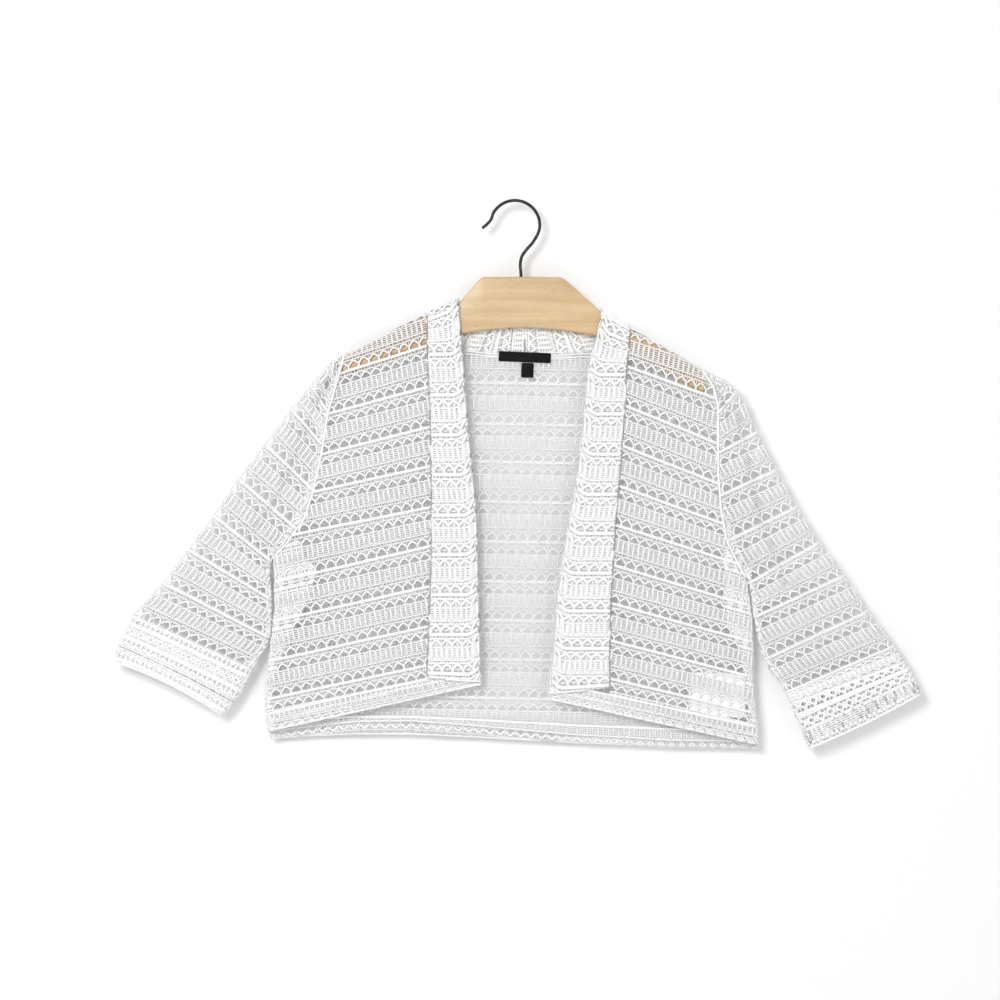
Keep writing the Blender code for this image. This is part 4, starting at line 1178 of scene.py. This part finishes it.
for side_name in SIDES:
    place, _, gap, cuff_depth = cuff_cloth(side_name)
    sign = -outward(side_name)
    start = CUFF_START[side_name]
    bulk = CUFF_BULK[side_name]
    tubes = knit(tube_to_flat, place, gap, sign, TUBE_SCALLOPS, (-1, 2), bulk, CUFF_LAYER, start)
    tubes += knit(tube_to_flat, lambda flat: place(mirrored(flat, cuff_depth)),
                  lambda flat: gap(mirrored(flat, cuff_depth)), -sign, TUBE_SCALLOPS, (0, 3),
                  bulk, CUFF_LAYER, start + CUFF_INNER_SHIFT[side_name])
    cuff = lace_piece("cuff_" + side_name + "_lace", tubes, folded_yarn_painted_light,
                      "cuff_" + side_name)


# The front bands and collar
# Each band is a strip of the lace folded lengthwise, sewn on from the hem up the front
# edge, over the hanger and round the back of the neck, where the two halves meet.
FIRST_BAND_RIDGE = 2
BAND_FOOT = {"left": (-452.6, -455.8), "right": (-461.7, -467.0)}
BAND_CREST = {"left": (-104.5, -92.4), "right": (-118.1, -101.7)}
BAND_DEPTH = 7.9
BAND_LAYER = 0.5
BAND_SKEW = 0.21
BAND_BULK = 1.72
CREST_STEPS = 17
BAND_CLEAR = 0.15
BAND_SCALLOPS = (-7, 7)
BAND_END_IN = 0.6
BAND_END_RUN = np.linspace(0.3, 34.0, 24)
BAND_END_YARN = (0.75, 0.5)
# Fold edge of the collar behind the hanger: place across, height
COLLAR_TOP = [(-52.2, -99.6), (-48.0, -99.0), (-41.8, -98.8), (-27.5, -97.4), (-10.4, -96.9),
              (10.4, -96.9), (33.2, -96.9), (53.2, -97.8), (70.3, -101.6), (77.9, -106.0),
              (82.6, -109.2)]
# Sections of the collar from the shoulder to its centre back seam: seam edge x, fold edge x
COLLAR_SECTIONS = {
    "left": [(-78.4, -48.0), (-70.3, -41.8), (-51.3, -27.5), (-22.8, -10.4), (10.2, 10.2)],
    "right": [(106.5, 77.9), (96.9, 70.3), (77.9, 53.2), (46.5, 33.2), (10.6, 10.6)],
}


def band_stations(side):
    """A band from its collar end to its foot: row number, seam point and fold point.

    Row numbers are the table's own on the front, and fall by one each repeat above it.
    """
    table = BAND_LINES[side]
    sign = outward(side)
    rows = []
    seam_top, fold_top = BAND_CREST[side]
    for seam_x, fold_x in COLLAR_SECTIONS[side][::-1]:
        seam_z = np.interp(seam_x, column(NECKLINE, 0), column(NECKLINE, 1)) + 0.3
        fold_z = np.interp(fold_x, column(COLLAR_TOP, 0), column(COLLAR_TOP, 1))
        rows.append((seam_x, BAND_DEPTH, seam_z, fold_x, BAND_DEPTH, fold_z))
    for angle in np.linspace(np.pi, 0.0, CREST_STEPS):
        y = -BAND_DEPTH * math.cos(angle)
        drop = BAND_DEPTH * (1.0 - math.sin(angle))
        rows.append((table[0][1] - sign * BAND_CLEAR, y, seam_top - drop,
                     table[0][2], y, fold_top - drop))
    above = len(rows)
    for z, seam_x, fold_x in table[FIRST_BAND_RIDGE:-1]:
        rows.append((seam_x - sign * BAND_CLEAR, -BAND_DEPTH, z, fold_x, -BAND_DEPTH, z))
    foot_seam, foot_fold = BAND_FOOT[side]
    rows.append((band_seam_x(side, foot_seam), -BAND_DEPTH, foot_seam,
                 band_fold_x(side, foot_fold), -BAND_DEPTH, foot_fold))
    rows = np.array(rows, float)
    middle = (rows[:, :3] + rows[:, 3:]) / 2
    step = np.linalg.norm(np.diff(middle, axis=0), axis=1)
    along = np.concatenate([[0.0], np.cumsum(step)])
    number = FIRST_BAND_RIDGE + (along - along[above]) / REPEAT
    front = np.arange(above, len(rows) - 1)
    number[front] = FIRST_BAND_RIDGE + np.arange(len(front))
    number[-1] = number[-2] + (along[-1] - along[-2]) / REPEAT
    return number, rows


def band_cloth(side):
    """A folded strip in space, and its edges.

    The sheet is unfolded: mm across from the fold edge, above nothing on the outer
    layer, and mm down. A point is the fold point plus its share of the way to the seam,
    moved off the middle by the layer's distance, which turns to nothing at the fold.
    """
    number, rows = band_stations(side)

    def read(down):
        row = down / REPEAT
        return np.stack([np.interp(row, number, rows[:, index]) for index in range(6)], -1)

    def place(flat):
        at = read(flat[..., 1])
        ahead = read(flat[..., 1] + 1.5)
        behind = read(flat[..., 1] - 1.5)
        across = at[..., :3] - at[..., 3:]
        width = np.linalg.norm(across, axis=-1, keepdims=True)
        down = (ahead - behind)[..., :3] + (ahead - behind)[..., 3:]
        normal = np.cross(across, down) * outward(side)
        normal /= np.maximum(np.linalg.norm(normal, axis=-1, keepdims=True), 1e-9)
        seen, share = turn(np.abs(flat[..., 0]), BAND_LAYER)
        layer = np.sign(flat[..., 0]) * share * BAND_LAYER
        return at[..., 3:] + across / width * seen[..., None] + normal * layer[..., None]

    def gap(flat):
        at = read(flat[..., 1])
        width = np.linalg.norm(at[..., :3] - at[..., 3:], axis=-1)
        down = flat[..., 1]
        return np.minimum.reduce([width - np.abs(flat[..., 0]), down - number[0] * REPEAT,
                                  number[-1] * REPEAT - down]) - EDGE_IN

    return place, gap, number


def band_to_flat(across, row):
    """Lace on a band's unfolded sheet: a quarter scallop on, so its layers lie staggered.

    The strip is folded a little askew, so its inner layer's rows run lower.
    """
    across, row = np.broadcast_arrays(across, row)
    across = across + SCALLOP / 4
    askew = BAND_SKEW * np.clip(-across / SCALLOP, 0.0, 1.0)
    return np.stack([across, (row + askew) * REPEAT], -1)


for side_name in SIDES:
    place, gap, number = band_cloth(side_name)
    first = int(math.floor(number[0])) - 1
    tubes = knit(band_to_flat, place, gap, outward(side_name), BAND_SCALLOPS, (first, 12),
                 BAND_BULK)
    top_down = number[0] * REPEAT + BAND_END_IN
    foot_down = number[-1] * REPEAT - BAND_END_IN
    for layer in (-1.0, 1.0):
        across = BAND_END_RUN * layer
        for down in (top_down, foot_down):
            end = np.stack([across, np.full(len(across), down)], 1)
            end = end[gap(end + [0.0, math.copysign(1.0, top_down + 5.0 - down)]) > -0.4]
            if len(end) > 1:
                tubes.append(edge_yarn(end, place, outward(side_name), *BAND_END_YARN))
    band = lace_piece("band_" + side_name + "_lace", tubes, folded_yarn_painted_light,
                      "band_" + side_name)


# The seams
# White overlocked stitching that holds the pieces together: round the armholes, down the
# sides, over the shoulders, round the neck and between sleeve and cuff. The spare cloth of
# the side and sleeve seams is pressed to the front and shows through it as a whiter patch,
# made whiter still by the painted light of its lighter folded yarn.
STITCH = 2.2
SEAM_RIDGE = 1.15
SEAM_WIDE = {"armhole": 1.5, "side": 1.6, "shoulder": 1.6, "inner": 4.2, "inner_edge": 1.4,
             "wrist": 1.3, "neck": 2.6, "middle": 3.4}
# Half width of the cords at an overlock's edges, and how far it lies off the cloth
CORD = 0.42
NECK_CORD = 0.8
ARMHOLE_LIFT = 0.35
WRIST_LIFT = 0.3
SEAM_IN = 0.2
INNER_SEAM_OUT = 2.6
# Stitches round a tube: the first and last mm from its outer fold, and the step
WRIST_RUN = np.arange(0.4, 131.0, STITCH)
CUFF_RUN = np.arange(0.2, 134.0, 1.4)
CENTRE_SEAM = [(10.4, 6.8, -98.5), (10.4, 6.8, -143.0)]
NECK_SEAM_Y = 6.7
NECK_SEAM_DROP = 1.2
# Spare cloth of a side seam, top to bottom: height, width
SPARE_CLOTH = {
    "left": [(-318.0, 0.0), (-332.0, 24.0), (-346.0, 40.0), (-368.0, 36.0), (-392.0, 25.0),
             (-420.0, 15.0), (-446.0, 8.0), (-500.0, 6.0)],
    "right": [(-322.0, 2.0), (-340.0, 12.0), (-356.0, 19.0), (-378.0, 26.0), (-404.0, 23.0),
              (-428.0, 12.0), (-450.0, 8.0), (-508.0, 6.0)],
}
SPARE_SINK = 1.4
SPARE_BULK = 2.1
SPARE_LIFTS = (0.0, -0.8)
SPARE_SHIFT = (4.9, 0.22)
# Spare cloth of a sleeve's seam: mm down the sleeve, width
SLEEVE_SPARE = [(0.0, 3.0), (110.0, 4.0), (170.0, 7.5), (330.0, 8.0)]

stitch_yarn = yarn_material("white_stitching", (0.97, 0.97, 0.97), (0.90, 0.90, 0.905),
                            1.6, 0.08, 0.12)


def overlock(line, out, width, cord=CORD):
    """Overlock stitches along a line in space: a cord down each edge and a zigzag between.

    The zigzag goes over from one edge to the other at each point of the line, so its
    points are the line plus and minus half the width across, in turn.
    """
    line = np.asarray(line, float)
    out = np.broadcast_to(np.asarray(out, float), line.shape)
    across = np.cross(np.gradient(line, axis=0), out)
    across *= width / 2 / np.maximum(np.linalg.norm(across, axis=1, keepdims=True), 1e-9)
    turns = np.where(np.arange(len(line)) % 2, 1.0, -1.0)[:, None]
    return [one_yarn(line + across * turns + out * 0.12, out, 0.34, 0.26, 3),
            one_yarn(line - across, out, cord, 0.36, 4),
            one_yarn(line + across, out, cord, 0.36, 4)]


def face_line(place, flat, sign, lift):
    """A line on a cloth in space, and the cloth's outward normals along it."""
    normal = normals(place, flat, sign)
    return place(flat) + normal * lift, normal


def side_table(side, top, bottom):
    """Points down a side line between two heights, a stitch apart: place across, height."""
    z = np.linspace(top, bottom, 60)
    return spaced(np.stack([falling(SIDE_LINE[side], z), z], 1), STITCH)


def no_relief(x, z):
    """Cloth that lies flat."""
    return 0.0 * x


def level_lines(ends, run, down, bottom):
    """Lines round a tube at mm down, one on each layer, as far as the tube is wide."""
    lines = []
    for layer in (-1.0, 1.0):
        flat = np.stack([run * layer, np.full(len(run), down)], 1)
        lines.append(flat[tube_gap(ends, flat, 0.0, bottom) > 0])
    return lines


def inner_seam(ends, sign, rows_down, below, lift, inset):
    """A tube's seam along its inner end: broad overlock, and narrow overlock on the edge.

    Only the rows whose inner end is lower than below have it. lift raises it, and inset
    is how far the narrow stitches lie from the broad ones.
    """
    _, _, inner_x, inner_z, _ = ends(rows_down)
    under = inner_z < below
    line = np.stack([inner_x[under] + sign * INNER_SEAM_OUT, np.zeros(under.sum()),
                     inner_z[under] + lift], 1)
    return (overlock(line, (0.0, -1.0, 0.0), SEAM_WIDE["inner"])
            + overlock(line - [sign * inset, 0.0, 0.0], (-sign, 0.0, 0.0), SEAM_WIDE["inner_edge"]))


def spare_piece(name, to_flat, place, gap, sign, scallops, rows, starts):
    """A seam's spare cloth: two thick layers of lace just inside the cloth it belongs to."""
    tubes = []
    for lift, start in zip(SPARE_LIFTS, starts):
        tubes += knit(to_flat, lambda flat: sunk(place(flat), SPARE_SINK), gap, sign,
                      scallops, rows, SPARE_BULK, lift, start)
    return lace_piece(name, tubes, folded_yarn_painted_light, None)


for side_name in SIDES:
    sign = outward(side_name)
    low = UNDERARM_Z[side_name]
    tubes = []
    armhole = side_table(side_name, SIDE_LINE[side_name][0][0] - 2.0, low + 1.0)
    for face in (-1.0, 1.0):
        line, normal = face_line(lambda flat: body_place(flat, face, no_relief),
                                 armhole - [sign * SEAM_IN, 0.0], -face, ARMHOLE_LIFT)
        tubes += overlock(line, normal, SEAM_WIDE["armhole"])
        tubes.append(one_yarn(line + normal * 0.25, normal, SEAM_RIDGE, 0.62, 4))
    hem_z = front_hem_z(side_name, FRONT_HEM[side_name][1][0])
    side = side_table(side_name, low - 1.0, hem_z + 2.0)
    down = np.stack([side[:, 0] - sign * SEAM_IN, np.zeros(len(side)), side[:, 1]], 1)
    tubes += overlock(down, (sign, 0.0, 0.0), SEAM_WIDE["side"])
    top = spaced([(x, 0.0, z + 0.1) for x, z in SHOULDER[side_name]], STITCH)
    tubes += overlock(top, (0.0, 0.0, 1.0), SEAM_WIDE["shoulder"])
    lace_piece("body_seams_" + side_name, tubes, stitch_yarn, None)

    to_flat, place, gap, _, _ = front_cloth(side_name)
    table = SPARE_CLOTH[side_name]

    def spare_gap(flat):
        z = flat[..., 1]
        across = sign * (falling(SIDE_LINE[side_name], z) - flat[..., 0])
        return np.minimum.reduce([gap(flat), falling(table, z) - across,
                                  table[0][0] - z, z - table[-1][0]])

    spare = spare_piece("spare_cloth_" + side_name,
                        lambda across, row: to_flat(across + SPARE_SHIFT[0], row + SPARE_SHIFT[1]),
                        place, spare_gap, 1.0, FRONT_SCALLOPS[side_name], (2, 11), (0.0, 9.0))

    place, ends, gap, bottom = sleeve_cloth(side_name)

    def sleeve_spare_gap(flat):
        width = np.interp(flat[..., 1], column(SLEEVE_SPARE, 0), column(SLEEVE_SPARE, 1))
        return np.minimum.reduce([gap(flat), width - tube_inner_gap(ends, flat), -flat[..., 0]])

    spare = spare_piece("sleeve_spare_cloth_" + side_name, tube_to_flat, place, sleeve_spare_gap,
                        -sign, TUBE_SCALLOPS, SLEEVE_REPEATS, (12.0, 19.0))

    tubes = inner_seam(ends, sign, np.arange(0.0, bottom, STITCH), low - 4.0, 0.0, 2.3)
    for flat in level_lines(ends, WRIST_RUN, bottom + 0.1, bottom + 9.0):
        line, normal = face_line(place, flat, -sign, WRIST_LIFT)
        tubes += overlock(line, normal, SEAM_WIDE["wrist"])
    lace_piece("sleeve_seams_" + side_name, tubes, stitch_yarn, None)

    place, ends, _, cuff_depth = cuff_cloth(side_name)
    tubes = inner_seam(ends, sign, np.arange(0.6, cuff_depth, STITCH), 0.0, 1.0, 2.0)
    for down in (0.8, cuff_depth - 0.2):
        for flat in level_lines(ends, CUFF_RUN, down, cuff_depth + 9.0):
            tubes.append(edge_yarn(flat, place, -sign, 0.8, 1.15))
    lace_piece("cuff_seams_" + side_name, tubes, stitch_yarn, None)

neck = spaced(NECKLINE, STITCH)
line = np.stack([neck[:, 0], np.full(len(neck), NECK_SEAM_Y), neck[:, 1] - NECK_SEAM_DROP], 1)
tubes = overlock(line, (0.0, -1.0, 0.0), SEAM_WIDE["neck"], NECK_CORD)
tubes += overlock(spaced(CENTRE_SEAM, STITCH), (0.0, -1.0, 0.0), SEAM_WIDE["middle"])
lace_piece("neck_seam", tubes, stitch_yarn, None)


# The labels
# A black woven neck label folded at both ends and caught down at its corners, a black size
# tab under it, and a white satin care label in the side seam. All are left bare.
LABEL_THICK = 0.9
LABEL_STEP = 0.7
LABEL_CORNER = 0.9
LABEL_CORNER_IN = 0.27
LABEL_RIM = 0.5
# The flat size is in metres; wave is how far the ribbon's face moves
LABELS = {
    "neck_label": {"centre": (10.3, -147.1), "size": (49.7, 9.6), "tilt_deg": -2.4, "y": 5.35,
                   "wave": 0.16, "finish": "black_woven", "flat": (0.0497, 0.0100)},
    "size_tab": {"centre": (12.8, -159.6), "size": (11.7, 14.0), "tilt_deg": -2.0, "y": 5.35,
                 "wave": 0.10, "finish": "black_woven", "flat": (0.0117, 0.014)},
    "care_label": {"centre": (192.6, -468.0), "size": (54.0, 42.6), "tilt_deg": -1.0, "y": -5.7,
                   "wave": 0.25, "finish": "white_care", "flat": (0.054, 0.0426)},
}

fine_weave = new_group("fine_weave", [
    ("Ribs", "INPUT", "NodeSocketFloat"),
    ("Height", "OUTPUT", "NodeSocketFloat"), ("Mask", "OUTPUT", "NodeSocketFloat"),
])
# A fine ribbed weave as a height, and slow unevenness as a mask
graph(fine_weave, {
    "inside": ("NodeGroupInput", {}),
    "outside": ("NodeGroupOutput", {}),
    "place": ("ShaderNodeTexCoord", {}),
    "across": ("ShaderNodeTexWave", {"bands_direction": "X"}),
    "down": ("ShaderNodeTexWave", {"bands_direction": "Z"}),
    "both": ("ShaderNodeMath", {"operation": "MULTIPLY"}),
    "patches": ("ShaderNodeTexNoise", {"Scale": 220.0, "Detail": 3.0}),
}, [
    ("place", "Object", "across", "Vector"), ("inside", "Ribs", "across", "Scale"),
    ("place", "Object", "down", "Vector"), ("inside", "Ribs", "down", "Scale"),
    ("place", "Object", "patches", "Vector"), ("patches", "Fac", "outside", "Mask"),
    ("across", "Fac", "both", 0), ("down", "Fac", "both", 1), ("both", 0, "outside", "Height"),
])


def label_material(name, dark, light, roughness, ribs):
    """Woven ribbon in two near tones with a fine ribbed bump."""
    made = new_material(name, Roughness=roughness, Specular_IOR_Level=0.15)
    graph(made.node_tree, {
        "weave": ("ShaderNodeGroup", {"node_tree": fine_weave, "Ribs": ribs}),
        "tone": ("ShaderNodeValToRGB", {"stops": [(0.3, dark), (0.7, light)]}),
        "bump": ("ShaderNodeBump", {"Strength": 0.4, "Distance": 0.06 * MM}),
    }, [
        ("weave", "Mask", "tone", "Fac"), ("tone", "Color", "shader", "Base Color"),
        ("weave", "Height", "bump", "Height"), ("bump", "Normal", "shader", "Normal"),
    ])
    return made


label_finishes = {
    "black_woven": label_material("black_woven_ribbon", (0.003, 0.003, 0.0035),
                                  (0.008, 0.008, 0.009), 0.75, 900.0),
    "white_care": label_material("white_satin_ribbon", (0.88, 0.885, 0.89),
                                 (0.925, 0.925, 0.925), 0.5, 700.0),
}


def ribbon(spec):
    """A thin closed slab of ribbon, its corners rounded and its face a little wavy.

    Half thickness and half sizes shrink together near the rim as a quarter circle, and
    the face moves by the wave's height times a sine of the place across and down.
    """
    width, height = spec["size"]
    across = max(6, int(width / LABEL_STEP))
    down = max(6, int(height / LABEL_STEP))
    u, v = np.meshgrid(np.linspace(-1, 1, across), np.linspace(-1, 1, down))
    rim = np.minimum((1 - np.abs(u)) * width / 2, (1 - np.abs(v)) * height / 2)
    half = LABEL_THICK / 2 * np.sqrt(np.clip(1 - (1 - np.clip(rim / LABEL_RIM, 0, 1)) ** 2, 0.0, 1.0))
    from_corner = np.hypot((1 - np.abs(u)) * width / 2, (1 - np.abs(v)) * height / 2)
    pull = LABEL_CORNER_IN * np.clip(1 - from_corner / LABEL_CORNER, 0, 1)
    x = u * width / 2 - np.sign(u) * pull
    z = v * height / 2 - np.sign(v) * pull
    bend = spec["wave"] * np.sin(u * 5.3 + v * 1.4 + 0.6) * np.cos(v * 1.7 - u)
    turned = math.radians(spec["tilt_deg"])
    mid_x, mid_z = spec["centre"]
    out_x = mid_x + x * math.cos(turned) - z * math.sin(turned)
    out_z = mid_z + x * math.sin(turned) + z * math.cos(turned)
    mid_y = spec["y"] + LABEL_THICK / 2 + bend
    front = np.stack([out_x, mid_y - half, out_z], -1).reshape(-1, 3)
    back = np.stack([out_x, mid_y + half, out_z], -1).reshape(-1, 3)
    count = down * across
    cells = grid_faces(down, across)
    rim_of = (rim.ravel() <= 1e-9)
    number = np.arange(2 * count)
    number[count:][rim_of] = np.arange(count)[rim_of]
    faces = np.concatenate([cells, number[cells[:, ::-1] + count]])
    points = np.concatenate([front, back])
    used = np.unique(faces)
    compact = np.zeros(2 * count, int)
    compact[used] = np.arange(len(used))
    return points[used], [compact[faces]]


for label, spec in LABELS.items():
    points, faces = ribbon(spec)
    made = mesh_object(label + "_ribbon", points, faces, label_finishes[spec["finish"]])
    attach(made, "root")
    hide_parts(label)
